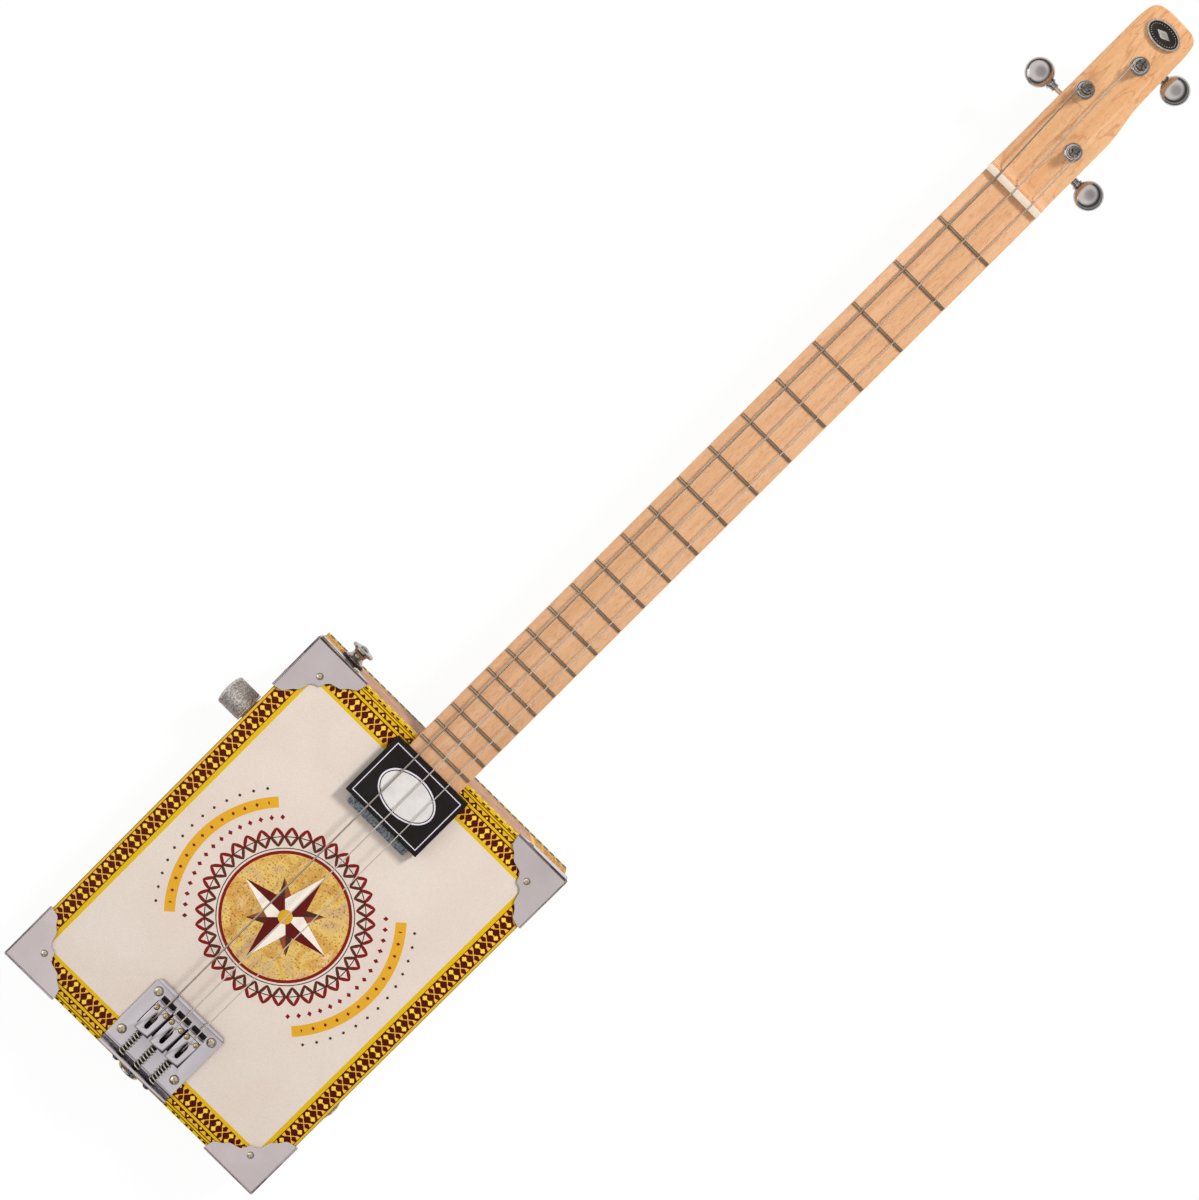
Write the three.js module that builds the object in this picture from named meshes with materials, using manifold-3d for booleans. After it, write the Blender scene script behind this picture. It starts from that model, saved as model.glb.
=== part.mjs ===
// A three-string electric cigar box guitar, in millimetres.
// It lies on its back: X is across the box towards the treble string, Y runs along the neck
// towards the headstock, and Z comes out of the face. The origin is the centre of the box's back.

import * as THREE from 'three';
import { mergeVertices } from 'three/addons/utils/BufferGeometryUtils.js';
import Module from 'manifold-3d';

const wasm = await Module();
wasm.setup();

// Driving dimensions of the box
const boxWidth = 190;
const boxLength = 248;
const boxDepth = 46;
const lidThickness = 4;
const backThickness = 4;
const wallThickness = 6;
const fitGap = 0.3;
const cutOverrun = 1;

// Driving dimensions of the neck and the scale
const scaleLength = 635;
const saddleSetback = 8;
const neckWidth = 38;
const neckDepth = 18;
const stickDepth = 14;
const headstockLength = 126;
const headstockThickness = 14;
const volute = 16;

// Fretboard, frets and nut
const fretboardThickness = 5.5;
const fretboardOverLid = 6;
const lastFretMargin = 4;
const fretWidth = 2.3;
const fretHeight = 1;
const fretTang = 0.6;
const fretEndInset = 0.4;
const nutThickness = 4;
const nutSlotDepth = 3;
const nutHeight = 2.6;
const nutSlotRise = 1.7;
const boardBehindNut = 2;
const coveLength = 6;
const coveSteps = 5;

// Strings: one radius each, from bass to treble
const stringRadii = [0.55, 0.42, 0.32];
const stringNames = ['bass', 'middle', 'treble'];
const stringSpacingAtNut = 12;
const stringSpacingAtBridge = 11.7;
const stringSides = 6;
const windingSteps = 24;
const windingTurns = 1.75;
const windingLeadSteps = 3;
const windingGap = 0.55;
const ballRadius = 1.8;
const ballEndRadius = 1.1;
const ballLength = 3;
const ballShoulder = 0.35;

// Bridge: a bent plate with three bent saddles
const bridgeWidth = 51;
const bridgeSheet = 1.8;
const bridgeLength = 47.8;
const bridgeTailMargin = 3.5;
const ridgeFromBridgeFront = 8.5;
const bridgeLipHeight = 8;
const bridgeCornerCut = 2;
const bridgeScrewInsetX = 5;
const bridgeScrewFrontInset = 6.6;
const bridgeScrewRearInset = 11.5;
const saddleWidth = 10.4;
const saddleLength = 20.6;
const saddleSheet = 1.6;
const saddleTopRise = 7.9;
const saddleRidgeRise = 0.7;
const saddleLegGap = 1;
const saddleSlotWidth = 2.8;
const saddleSlotLength = 11;
const saddleSlotInset = 6.2;
const stringHoleInset = 13.4;
const stringHoleRadius = 1.5;
const grubScrewRadius = 1.5;
const grubScrewSpread = 3.55;
const grubScrewInset = 3.9;
const grubScrewProud = 0.4;
const intonationAxisRise = 3.9;
const intonationScrewRadius = 1.35;
const intonationHeadRadius = 2.2;
const intonationHeadLength = 1.9;
const intonationHeadChamfer = 0.6;
const crossReach = 1.3;
const crossWidth = 0.7;
const crossDepth = 0.95;
const intonationTipPastTab = 1.1;
const springWireRadius = 0.35;
const springMeanRadius = 2.12;
const springCurls = 7;
const springStepsPerCurl = 8;
const springSides = 5;

// Pickup in a black cover
const pickupWidth = 54;
const pickupLength = 41.5;
const pickupHeight = 7.5;
const pickupWall = 1.6;
const pickupTopWall = 1.5;
const pickupCornerRadius = 2.2;
const pickupBaseWidth = 43.6;
const pickupBaseTab = 5.4;
const pickupBaseThickness = 2.2;
const pickupCoreWidth = 36;
const pickupCoreLength = 30;
const pickupCoreHeight = 3;

// Corner protectors of bent sheet, each with three dome-headed screws
const protectorLeg = 36;
const protectorSheet = 0.8;
const protectorScrewInset = 14.5;
const protectorSideScrewAlong = 26.5;
const stripMargin = 1.94;
const protectorEdgeCut = 1.2;
const woodScrewHeadRadius = 2.1;
const woodScrewHeadHeight = 1.1;
const woodScrewShankRadius = 1;
const woodScrewLength = 3.6;
const bridgeScrewHeadRadius = 2.9;
const bridgeScrewHeadHeight = 1.5;
const screwSides = 6;
const holeSides = 8;

// Tuners with open gears
const postRadius = 3;
const postWaistRadius = 2.6;
const postWaistHeight = 5.2;
const postTopHeight = 8.6;
const postHoleRadius = 0.8;
const postHoleHeight = 6.7;
const postSides = 10;
const bushingFlangeRadius = 5.3;
const bushingFlangeHeight = 1.5;
const bushingShankRadius = 4.2;
const bushingShankLength = 6;
const bushingSides = 12;
const shaftSides = 10;
const gearTeeth = 14;
const gearPitchRadius = 5.4;
const gearThickness = 3;
const toothAddendum = 0.72;
const toothDedendum = 0.95;
const toothTipWidth = 0.6;
const toothRootWidth = 1.15;
const wormPitchRadius = 2.3;
const threadCrestWidth = 0.55;
const threadRootWidth = 1.05;
const threadStepsPerTurn = 8;
const threadTurns = 2.5;
const wormShaftRadius = 1.5;
const wormShaftEnd = 7;
const earInside = 4.9;
const earThickness = 1.1;
const earHalfWidth = 2.5;
const tunerSheet = 1;
const tunerPlateHalfWidth = 7;
const tunerPlateBack = 12;
const tunerPlateFront = 15.5;
const tunerPlateCorner = 3;
const tunerScrewMargin = 3;
const tunerScrewHeadRadius = 1.7;
const tunerScrewHeadHeight = 0.9;
const gearUnderPlate = 1.9;
const gearScrewRadius = 2.2;
const gearScrewHeight = 0.8;
const buttonReach = 23.8;
const buttonRadius = 8.3;
const buttonHalfThickness = 3.9;
const buttonRimHalfThickness = 1.5;
const buttonStemRadius = 2.5;
const buttonStemLength = 4.2;
const buttonCollarRadius = 3.3;
const buttonCollarLength = 1.2;
const buttonSides = 16;
const shaftIntoButton = 3.5;
const postPlaceShares = [
  { across: -0.59, along: 0.51, hand: 1, turn: Math.PI },
  { across: 0.037, along: 0.744, hand: 1, turn: 0 },
  { across: 0.426, along: 0.286, hand: -1, turn: 0 },
];
const windingSideShares = [-1, -1, 1];

// Volume control on the bass wall
const controlFromNeckEnd = 59;
const potRadius = 12;
const potLength = 8.5;
const potBushingRadius = 4.7;
const potBushingProud = 4;
const potNutRadius = 7.2;
const potNutThickness = 2;
const potShaftRadius = 3.1;
const potShaftInside = 3;
const potShaftProud = 14;
const knobRadius = 9.3;
const knobLength = 17.6;
const knobStandOff = 1.2;
const knobCrownLength = 3.4;
const knobCavityRadius = 7.8;
const knobCavityDepth = 4.2;
const knobSides = 20;

// Output jack on the treble wall
const jackFromTailEnd = 59.5;
const jackBushingRadius = 4.7;
const jackBoreRadius = 3.3;
const jackBushingProud = 3.2;
const jackNutRadius = 7;
const jackNutThickness = 2;
const jackFlangeRadius = 8;
const jackFlangeThickness = 2.4;
const jackContactLength = 22;
const jackContactWidth = 4;
const jackContactSheet = 0.8;
const jackContactOffset = 5.6;
const jackSides = 14;

// Strap buttons with felt washers
const strapButtonInset = 21.3;
const tailStrapHeight = 15;
const strapWasherRadius = 7.2;
const strapWasherThickness = 1.2;
const strapBaseRadius = 6.4;
const strapWaistRadius = 4;
const strapHeadRadius = 7.2;
const strapButtonLength = 8.5;
const strapBaseThickness = 1;
const strapWaistDistance = 3.8;
const strapHeadThickness = 2;
const strapHeadRounding = 0.9;
const strapScrewRadius = 1.9;
const strapScrewHeadRadius = 3.4;
const strapScrewHeadHeight = 0.8;
const strapScrewIntoWood = 12;
const strapSides = 12;

// Plaque on the headstock
const plaqueX = -2.2;
const plaqueFromTip = 12;
const plaqueHalfWidth = 10.6;
const plaqueHalfLength = 6.6;
const plaqueThickness = 1;
const plaqueRimHeight = 0.6;
const plaqueRimWidth = 1.1;
const plaqueSides = 20;

// String anchor let into the back panel
const anchorWidth = 33;
const anchorLength = 10;
const anchorThickness = 2.4;
const anchorBallDepth = 1.5;

// Leads inside the box
const leadRadius = 0.9;
const leadSides = 8;
const leadSteps = 14;
const leadHoleRadius = 1.5;
const groundLeadInset = 3.3;
const groundFromJackAxis = 5;
const leadFromPotAxis = 2.5;
const leadOverContact = 0.6;
const leadUnderPickup = 1.5;
const leadBelowLid = 3;

// Levels and edges that follow from the driving dimensions
const halfWidth = boxWidth / 2;
const halfLength = boxLength / 2;
const halfNeck = neckWidth / 2;
const faceZ = boxDepth;
const midZ = boxDepth / 2;
const lidUnderZ = boxDepth - lidThickness;
const boardTopZ = faceZ + fretboardThickness;
const bridgeRearY = -halfLength + bridgeTailMargin;
const bridgeFrontY = bridgeRearY + bridgeLength;
const ridgeY = bridgeFrontY - ridgeFromBridgeFront;
const saddleFrontY = ridgeY + saddleSheet / 2;
const nutFrontY = ridgeY + saddleSetback + scaleLength;
const nutBackY = nutFrontY + nutThickness;
const boardEndY = halfLength - fretboardOverLid;
const controlY = halfLength - controlFromNeckEnd;
const jackY = -halfLength + jackFromTailEnd;
const strapButtonX = -halfWidth + strapButtonInset;
const protectorFlangeDepth = midZ - strapWasherRadius - stripMargin;
const bridgeTopZ = faceZ + bridgeSheet;
const bridgeLipFrontY = bridgeRearY + bridgeSheet;
const saddleTopZ = bridgeTopZ + saddleTopRise;
const saddleRidgeZ = saddleTopZ + saddleRidgeRise;
const intonationZ = bridgeTopZ + intonationAxisRise;
const stringHoleY = saddleFrontY - stringHoleInset;
const groundLeadX = bridgeWidth / 2 - groundLeadInset;
const groundLeadY = stringHoleY;
const pickupFrontY = boardEndY - fitGap;
const pickupRearY = pickupFrontY - pickupLength;
const pickupMidY = (pickupFrontY + pickupRearY) / 2;
const pickupLeadX = (pickupBaseWidth + pickupWidth) / 4 - pickupWall / 2;
const saddleRearY = saddleFrontY - saddleLength;
const headstockBackZ = faceZ - headstockThickness;
const tunerPlateZ = headstockBackZ - tunerSheet;
const wormOffset = gearPitchRadius + wormPitchRadius;
const gearMidZ = tunerPlateZ - gearUnderPlate - gearThickness / 2;
const toothPitch = (2 * Math.PI * gearPitchRadius) / gearTeeth;

// Finishes
const finish = (color, roughness, metalness) =>
  new THREE.MeshStandardMaterial({ color, roughness, metalness });
const paperedLid = finish('#e5d6ca', 0.55, 0);
const cedar = finish('#b5754f', 0.7, 0);
const maple = finish('#e4b27c', 0.35, 0);
const fretboardWood = finish('#e8b786', 0.5, 0);
const bone = finish('#f1ece2', 0.4, 0);
const satinChrome = finish('#bfb8b8', 0.35, 1);
const chrome = finish('#d4d4d8', 0.15, 1);
const nickel = finish('#c9c2b5', 0.25, 1);
const springSteel = finish('#a8a49c', 0.3, 1);
const blackPlastic = finish('#232024', 0.4, 0);
const pickupMetal = finish('#8f9bab', 0.45, 0.6);
const pewter = finish('#8d8478', 0.45, 0.9);
const brass = finish('#c59b4a', 0.35, 0.9);
const felt = finish('#1c1a1a', 0.95, 0);
const leadPlastic = finish('#30303a', 0.6, 0);

// A closed mesh becomes a solid that can be cut and joined.
function solidOf(geometry) {
  const bare = geometry.clone();
  bare.deleteAttribute('normal');
  bare.deleteAttribute('uv');
  const merged = mergeVertices(bare);
  const corners = [];
  const index = merged.index.array;
  for (let i = 0; i < index.length; i += 3) {
    const [a, b, c] = [index[i], index[i + 1], index[i + 2]];
    if (a !== b && b !== c && c !== a) corners.push(a, b, c);
  }
  return new wasm.Manifold(
    new wasm.Mesh({
      numProp: 3,
      vertProperties: new Float32Array(merged.attributes.position.array),
      triVerts: new Uint32Array(corners),
    }),
  );
}

function geometryOf(solid) {
  const mesh = solid.getMesh();
  const geometry = new THREE.BufferGeometry();
  geometry.setAttribute('position', new THREE.BufferAttribute(mesh.vertProperties, mesh.numProp));
  geometry.setIndex(new THREE.BufferAttribute(mesh.triVerts, 1));
  geometry.computeVertexNormals();
  return geometry;
}

const join = (...solids) => solids.reduce((whole, next) => whole.add(next));
const cut = (solid, ...tools) => tools.reduce((rest, tool) => rest.subtract(tool), solid);

function block(x0, x1, y0, y1, z0, z1) {
  const geometry = new THREE.BoxGeometry(x1 - x0, y1 - y0, z1 - z0);
  geometry.translate((x0 + x1) / 2, (y0 + y1) / 2, (z0 + z1) / 2);
  return solidOf(geometry);
}

// A straight round bar between two points
function bar(from, to, radius, sides, endRadius = radius) {
  const start = new THREE.Vector3(...from);
  const end = new THREE.Vector3(...to);
  const along = end.clone().sub(start);
  const geometry = new THREE.CylinderGeometry(endRadius, radius, along.length(), sides);
  const upright = new THREE.Vector3(0, 1, 0);
  geometry.applyQuaternion(
    new THREE.Quaternion().setFromUnitVectors(upright, along.clone().normalize()),
  );
  geometry.translate(...start.add(end).multiplyScalar(0.5).toArray());
  return solidOf(geometry);
}

// A turned piece: each profile point is [radius, distance along the axis].
// The axis starts at a point and follows a direction.
function turned(profile, sides, start, direction) {
  const points = profile.map(([radius, along]) => new THREE.Vector2(radius, along));
  const geometry = new THREE.LatheGeometry(points, sides);
  const upright = new THREE.Vector3(0, 1, 0);
  geometry.applyQuaternion(
    new THREE.Quaternion().setFromUnitVectors(upright, new THREE.Vector3(...direction)),
  );
  geometry.translate(...start);
  return solidOf(geometry);
}

// A flat outline in X and Y, thickened from one level to another
function sheetPiece(points, z0, z1) {
  const shape = new THREE.Shape(points.map(([x, y]) => new THREE.Vector2(x, y)));
  const geometry = new THREE.ExtrudeGeometry(shape, { depth: z1 - z0, bevelEnabled: false });
  geometry.translate(0, 0, z0);
  return solidOf(geometry);
}

// Rings of equally many points, joined into one closed skin. Seen from the first ring's
// outside, its points run anticlockwise.
function skin(rings) {
  const count = rings[0].length;
  const vertices = rings.flat();
  const faces = [];
  for (let r = 0; r + 1 < rings.length; r += 1) {
    for (let i = 0; i < count; i += 1) {
      const a = r * count + i;
      const b = r * count + ((i + 1) % count);
      faces.push(a, b, b + count, a, b + count, a + count);
    }
  }
  const last = (rings.length - 1) * count;
  for (let i = 1; i + 1 < count; i += 1) {
    faces.push(0, i + 1, i, last, last + i, last + i + 1);
  }
  const geometry = new THREE.BufferGeometry();
  geometry.setAttribute('position', new THREE.Float32BufferAttribute(vertices.flat(), 3));
  geometry.setIndex(faces);
  return solidOf(geometry);
}

// One unbroken round tube through the points of a path, with a radius at each point
function tube(path, radii, sides) {
  const points = path.map((point) => new THREE.Vector3(...point));
  const directionAt = (i) => {
    const before = points[Math.max(i - 1, 0)];
    const after = points[Math.min(i + 1, points.length - 1)];
    const inward = points[i].clone().sub(before).normalize();
    const outward = after.clone().sub(points[i]).normalize();
    return inward.add(outward).normalize();
  };
  let direction = directionAt(0);
  const anySide = Math.abs(direction.z) < 0.9 ? new THREE.Vector3(0, 0, 1) : new THREE.Vector3(1, 0, 0);
  let side = anySide.cross(direction).normalize();
  const rings = points.map((point, i) => {
    const next = directionAt(i);
    side.applyQuaternion(new THREE.Quaternion().setFromUnitVectors(direction, next));
    direction = next;
    const up = direction.clone().cross(side);
    return Array.from({ length: sides }, (_, k) => {
      const angle = (2 * Math.PI * k) / sides;
      const offset = side.clone().multiplyScalar(Math.cos(angle) * radii[i]);
      offset.addScaledVector(up, Math.sin(angle) * radii[i]);
      return point.clone().add(offset).toArray();
    });
  });
  return skin(rings);
}

// The least gap between points of a wound path that lie more than a third of a turn apart
function leastGap(path, stepsPerTurn, radius) {
  let least = Infinity;
  const apart = Math.ceil(stepsPerTurn / 3);
  path.forEach((here, i) => {
    path.slice(i + apart).forEach((there) => {
      const distance = Math.hypot(here[0] - there[0], here[1] - there[1], here[2] - there[2]);
      least = Math.min(least, distance - 2 * radius);
    });
  });
  return least;
}

const guitar = new THREE.Group();
guitar.name = 'cigar_box_guitar';

function place(name, solid, material, parent = guitar) {
  const mesh = new THREE.Mesh(geometryOf(solid), material.clone());
  mesh.name = name;
  parent.add(mesh);
  return mesh;
}

// Half outlines of turned pieces, as shares of their radius and their height
const domeShares = [
  [1, 0],
  [0.7, 0.75],
  [0, 1],
];
const buttonDomeShares = [
  [0.86, 0.62],
  [0.5, 0.9],
  [0, 1],
];
const knobCrownShares = [
  [1, 0],
  [0.9, 0.5],
  [0.62, 0.88],
  [0, 1],
];

// A dome-headed screw that stands on a surface at a point; out points away from the wood
function domeScrew(at, out, headRadius, headHeight, shankLength) {
  const profile = [
    [0, -shankLength],
    [woodScrewShankRadius, -shankLength],
    [woodScrewShankRadius, 0],
    ...domeShares.map(([a, b]) => [a * headRadius, b * headHeight]),
  ];
  return turned(profile, screwSides, at, out);
}

// The pilot hole of such a screw, from the surface inwards
function pilotHole(at, out, depth) {
  const end = at.map((value, i) => value - out[i] * depth);
  const start = at.map((value, i) => value + out[i] * cutOverrun);
  return bar(start, end, woodScrewShankRadius + fitGap, screwSides);
}

const stringXAtBridge = (i) => (i - 1) * stringSpacingAtBridge;
const stringXAtNut = (i) => (i - 1) * stringSpacingAtNut;
const eachString = (make) => stringNames.map((name, i) => make(i, name));

// Places of the corner protectors' screws, for the box and the protectors alike
const cornerSigns = [
  [1, 1],
  [-1, 1],
  [-1, -1],
  [1, -1],
];
const pilotDepth = woodScrewLength + fitGap;

function faceScrewPlace([sx, sy], z) {
  return [sx * (halfWidth - protectorScrewInset), sy * (halfLength - protectorScrewInset), z];
}

// Lid: one board with holes for strings, leads and screws
function makeLid() {
  const board = block(-halfWidth, halfWidth, -halfLength, halfLength, lidUnderZ, faceZ);
  const through = (x, y, radius) =>
    bar([x, y, lidUnderZ - cutOverrun], [x, y, faceZ + cutOverrun], radius, holeSides);
  const stringHoles = eachString((i) => through(stringXAtBridge(i), stringHoleY, stringHoleRadius));
  const leadHoles = [
    through(pickupLeadX, pickupMidY, leadHoleRadius),
    through(groundLeadX, groundLeadY, leadHoleRadius),
  ];
  const cornerHoles = cornerSigns.map((signs) => {
    const [x, y] = faceScrewPlace(signs, faceZ);
    return through(x, y, woodScrewShankRadius + fitGap);
  });
  const bridgeHoles = bridgeScrewPlaces.map(([x, y]) =>
    through(x, y, woodScrewShankRadius + fitGap),
  );
  return cut(board, ...stringHoles, ...leadHoles, ...cornerHoles, ...bridgeHoles);
}

const bridgeScrewX = bridgeWidth / 2 - bridgeScrewInsetX;
const bridgeScrewPlaces = [
  [-bridgeScrewX, bridgeFrontY - bridgeScrewFrontInset],
  [bridgeScrewX, bridgeFrontY - bridgeScrewFrontInset],
  [-bridgeScrewX, bridgeRearY + bridgeScrewRearInset],
  [bridgeScrewX, bridgeRearY + bridgeScrewRearInset],
];

function makeBack() {
  const board = block(-halfWidth, halfWidth, -halfLength, halfLength, 0, backThickness);
  const pocket = block(
    -anchorWidth / 2 - fitGap,
    anchorWidth / 2 + fitGap,
    stringHoleY - anchorLength / 2 - fitGap,
    stringHoleY + anchorLength / 2 + fitGap,
    -cutOverrun,
    anchorThickness,
  );
  const holes = eachString((i) => {
    const x = stringXAtBridge(i);
    const top = backThickness + cutOverrun;
    return bar([x, stringHoleY, 0], [x, stringHoleY, top], stringHoleRadius, screwSides);
  });
  return cut(board, pocket, ...holes);
}

// The height of the protectors' side screws
const sideScrewDown = protectorFlangeDepth / 2;
const sideScrewZ = boxDepth - sideScrewDown;

// A long wall on one side of the box, with its own cuts besides the screw holes
function makeSide(sign, ...tools) {
  const outer = sign * halfWidth;
  const inner = sign * (halfWidth - wallThickness);
  const [x0, x1] = [Math.min(inner, outer), Math.max(inner, outer)];
  const board = block(x0, x1, -halfLength, halfLength, backThickness, lidUnderZ);
  const holes = [1, -1].map((end) => {
    const y = end * (halfLength - protectorSideScrewAlong);
    return pilotHole([outer, y, sideScrewZ], [sign, 0, 0], pilotDepth);
  });
  return cut(board, ...holes, ...tools);
}

// A short wall between the long ones
function makeEnd(sign, ...tools) {
  const outer = sign * halfLength;
  const inner = sign * (halfLength - wallThickness);
  const [y0, y1] = [Math.min(inner, outer), Math.max(inner, outer)];
  const reach = halfWidth - wallThickness;
  const board = block(-reach, reach, y0, y1, backThickness, lidUnderZ);
  const holes = [1, -1].map((side) => {
    const x = side * (halfWidth - protectorSideScrewAlong);
    return pilotHole([x, outer, sideScrewZ], [0, sign, 0], pilotDepth);
  });
  return cut(board, ...holes, ...tools);
}

const stickBottomZ = lidUnderZ - stickDepth;
const neckNotch = block(
  -halfNeck - fitGap,
  halfNeck + fitGap,
  halfLength - wallThickness - cutOverrun,
  halfLength + cutOverrun,
  stickBottomZ - fitGap,
  lidUnderZ + cutOverrun,
);
const strapHoleRadius = strapScrewRadius + fitGap;
const strapHole = (x, z, sign) =>
  bar(
    [x, sign * (halfLength + cutOverrun), z],
    [x, sign * (halfLength - wallThickness - cutOverrun), z],
    strapHoleRadius,
    screwSides,
  );
const wallHole = (sign, y, radius) =>
  bar(
    [sign * (halfWidth + cutOverrun), y, midZ],
    [sign * (halfWidth - wallThickness - cutOverrun), y, midZ],
    radius + fitGap,
    jackSides,
  );

place('lid', makeLid(), paperedLid);
place('back_panel', makeBack(), cedar);
place('side_bass', makeSide(-1, wallHole(-1, controlY, potBushingRadius)), cedar);
place('side_treble', makeSide(1, wallHole(1, jackY, jackBushingRadius)), cedar);
place('end_neck', makeEnd(1, neckNotch, strapHole(strapButtonX, midZ, 1)), cedar);
place('end_tail', makeEnd(-1, strapHole(0, tailStrapHeight, -1)), cedar);

// Corner protectors. Half of the face's outline runs from a leg's tip to the rounded lobe on
// the diagonal, as shares of the leg; the other half mirrors it.
const protectorFaceShares = [
  [1, 0],
  [0.965, 0.15],
  [0.83, 0.24],
  [0.77, 0.32],
  [0.6, 0.365],
  [0.55, 0.41],
  [0.515, 0.515],
];

// A flange's lower edge: shares of the leg along it, and of the flange's depth
const protectorFlangeShares = [
  [1, 0],
  [0.965, 0.39],
  [0.74, 0.7],
  [0.66, 0.9],
  [0, 1],
];

// A protector in its own frame: the corner of the wood is at the origin, the wood fills
// negative X, Y and Z, and the screws go in from above and from both sides.
function makeProtector() {
  const inner = fitGap;
  const outer = fitGap + protectorSheet;
  const edge = protectorEdgeCut;
  const half = protectorFaceShares.map(([a, b]) => [-a * protectorLeg, -b * protectorLeg]);
  const otherHalf = half
    .slice(0, -1)
    .reverse()
    .map(([x, y]) => [y, x]);
  const faceOutline = [
    [outer - edge, outer],
    [-protectorLeg, outer],
    ...half,
    ...otherHalf,
    [outer, -protectorLeg],
    [outer, outer - edge],
  ];
  const face = sheetPiece(faceOutline, inner, outer);
  const flangeOutline = [
    [outer, outer],
    [-protectorLeg, outer],
    ...protectorFlangeShares.map(([a, b]) => [-a * protectorLeg, -b * protectorFlangeDepth]),
    [outer, -protectorFlangeDepth],
  ];
  const flat = new THREE.Shape(flangeOutline.map(([a, b]) => new THREE.Vector2(a, b)));
  const flangeGeometry = () =>
    new THREE.ExtrudeGeometry(flat, { depth: protectorSheet, bevelEnabled: false });
  const alongX = flangeGeometry();
  alongX.rotateX(Math.PI / 2);
  alongX.translate(0, outer, 0);
  const alongY = flangeGeometry();
  alongY.rotateX(Math.PI / 2);
  alongY.rotateZ(Math.PI / 2);
  alongY.translate(inner, 0, 0);
  const screwLength = woodScrewLength + outer;
  const screw = (at, out) =>
    domeScrew(at, out, woodScrewHeadRadius, woodScrewHeadHeight, screwLength);
  const corner = [-protectorScrewInset, -protectorScrewInset, outer];
  const along = -protectorSideScrewAlong;
  const down = -sideScrewDown;
  return join(
    face,
    solidOf(alongX),
    solidOf(alongY),
    screw(corner, [0, 0, 1]),
    screw([along, outer, down], [0, 1, 0]),
    screw([outer, along, down], [1, 0, 0]),
  );
}

const protector = makeProtector();
const cornerNames = ['neck_treble', 'neck_bass', 'tail_bass', 'tail_treble'];
cornerSigns.forEach(([sx, sy], i) => {
  const front = place(`protector_front_${cornerNames[i]}`, protector, satinChrome);
  front.position.set(sx * halfWidth, sy * halfLength, faceZ);
  front.rotation.z = (i * Math.PI) / 2;
});

// Neck: a rounded shaft, a stick through the box and a flat headstock
const neckSectionShares = [
  [1, 0],
  [1, 0.3],
  [0.93, 0.58],
  [0.76, 0.8],
  [0.45, 0.95],
  [0, 1],
];
const headstockOutlineShares = [
  [1, 0],
  [0.995, 0.414],
  [0.953, 0.477],
  [0.88, 0.541],
  [0.82, 0.604],
  [0.795, 0.704],
  [0.775, 0.81],
  [0.763, 0.898],
  [0.735, 0.94],
  [0.67, 0.972],
  [0.55, 0.99],
  [0.3, 0.999],
  [-0.35, 1],
  [-0.72, 0.992],
  [-0.88, 0.975],
  [-0.965, 0.945],
  [-1, 0.89],
  [-1, 0],
];

function neckSection(y, depth) {
  const right = neckSectionShares.map(([a, b]) => [a * halfNeck, y, faceZ - b * depth]);
  const left = right
    .slice(0, -1)
    .reverse()
    .map(([x, , z]) => [-x, y, z]);
  return [...right, ...left];
}

const postPlace = (i) => {
  const { across, along } = postPlaceShares[i];
  return [across * halfNeck, nutBackY + along * headstockLength];
};

function makeNeck() {
  const shaft = skin([
    neckSection(halfLength, neckDepth),
    neckSection(nutBackY - volute, neckDepth),
    neckSection(nutBackY + volute / 2, headstockThickness),
  ]);
  const stick = block(
    -halfNeck,
    halfNeck,
    -halfLength + wallThickness,
    halfLength + wallThickness,
    stickBottomZ,
    lidUnderZ,
  );
  const outline = headstockOutlineShares.map(([a, b]) => [
    a * halfNeck,
    nutBackY + b * headstockLength,
  ]);
  const headstock = sheetPiece(outline, headstockBackZ, faceZ);
  const postHoles = postPlaceShares.map((_, i) => {
    const [x, y] = postPlace(i);
    const low = headstockBackZ - cutOverrun;
    const high = faceZ + cutOverrun;
    return bar([x, y, low], [x, y, high], bushingShankRadius + fitGap, bushingSides);
  });
  const stringHoles = eachString((i) => {
    const x = stringXAtBridge(i);
    const low = stickBottomZ - cutOverrun;
    const high = lidUnderZ + cutOverrun;
    return bar([x, stringHoleY, low], [x, stringHoleY, high], stringHoleRadius, screwSides);
  });
  const tunerScrewHoles = postPlaceShares.flatMap((_, i) =>
    tunerScrewPlaces(i).map(([x, y]) => pilotHole([x, y, headstockBackZ], [0, 0, -1], pilotDepth)),
  );
  const whole = join(shaft, stick, headstock);
  return cut(whole, ...postHoles, ...stringHoles, ...tunerScrewHoles);
}

// The two screws of a tuner's plate, in the part's frame
function tunerScrewPlaces(i) {
  const { hand, turn } = postPlaceShares[i];
  const [x, y] = postPlace(i);
  const side = Math.cos(turn) * hand;
  const front = tunerPlateFront - tunerScrewMargin;
  const back = tunerPlateBack - tunerScrewMargin;
  return [
    [x, y + side * front],
    [x, y - side * back],
  ];
}

place('neck', makeNeck(), maple);

// From the nut to a fret, in equal temperament
const fretDistance = (number) => scaleLength * (1 - 2 ** (-number / 12));

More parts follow.
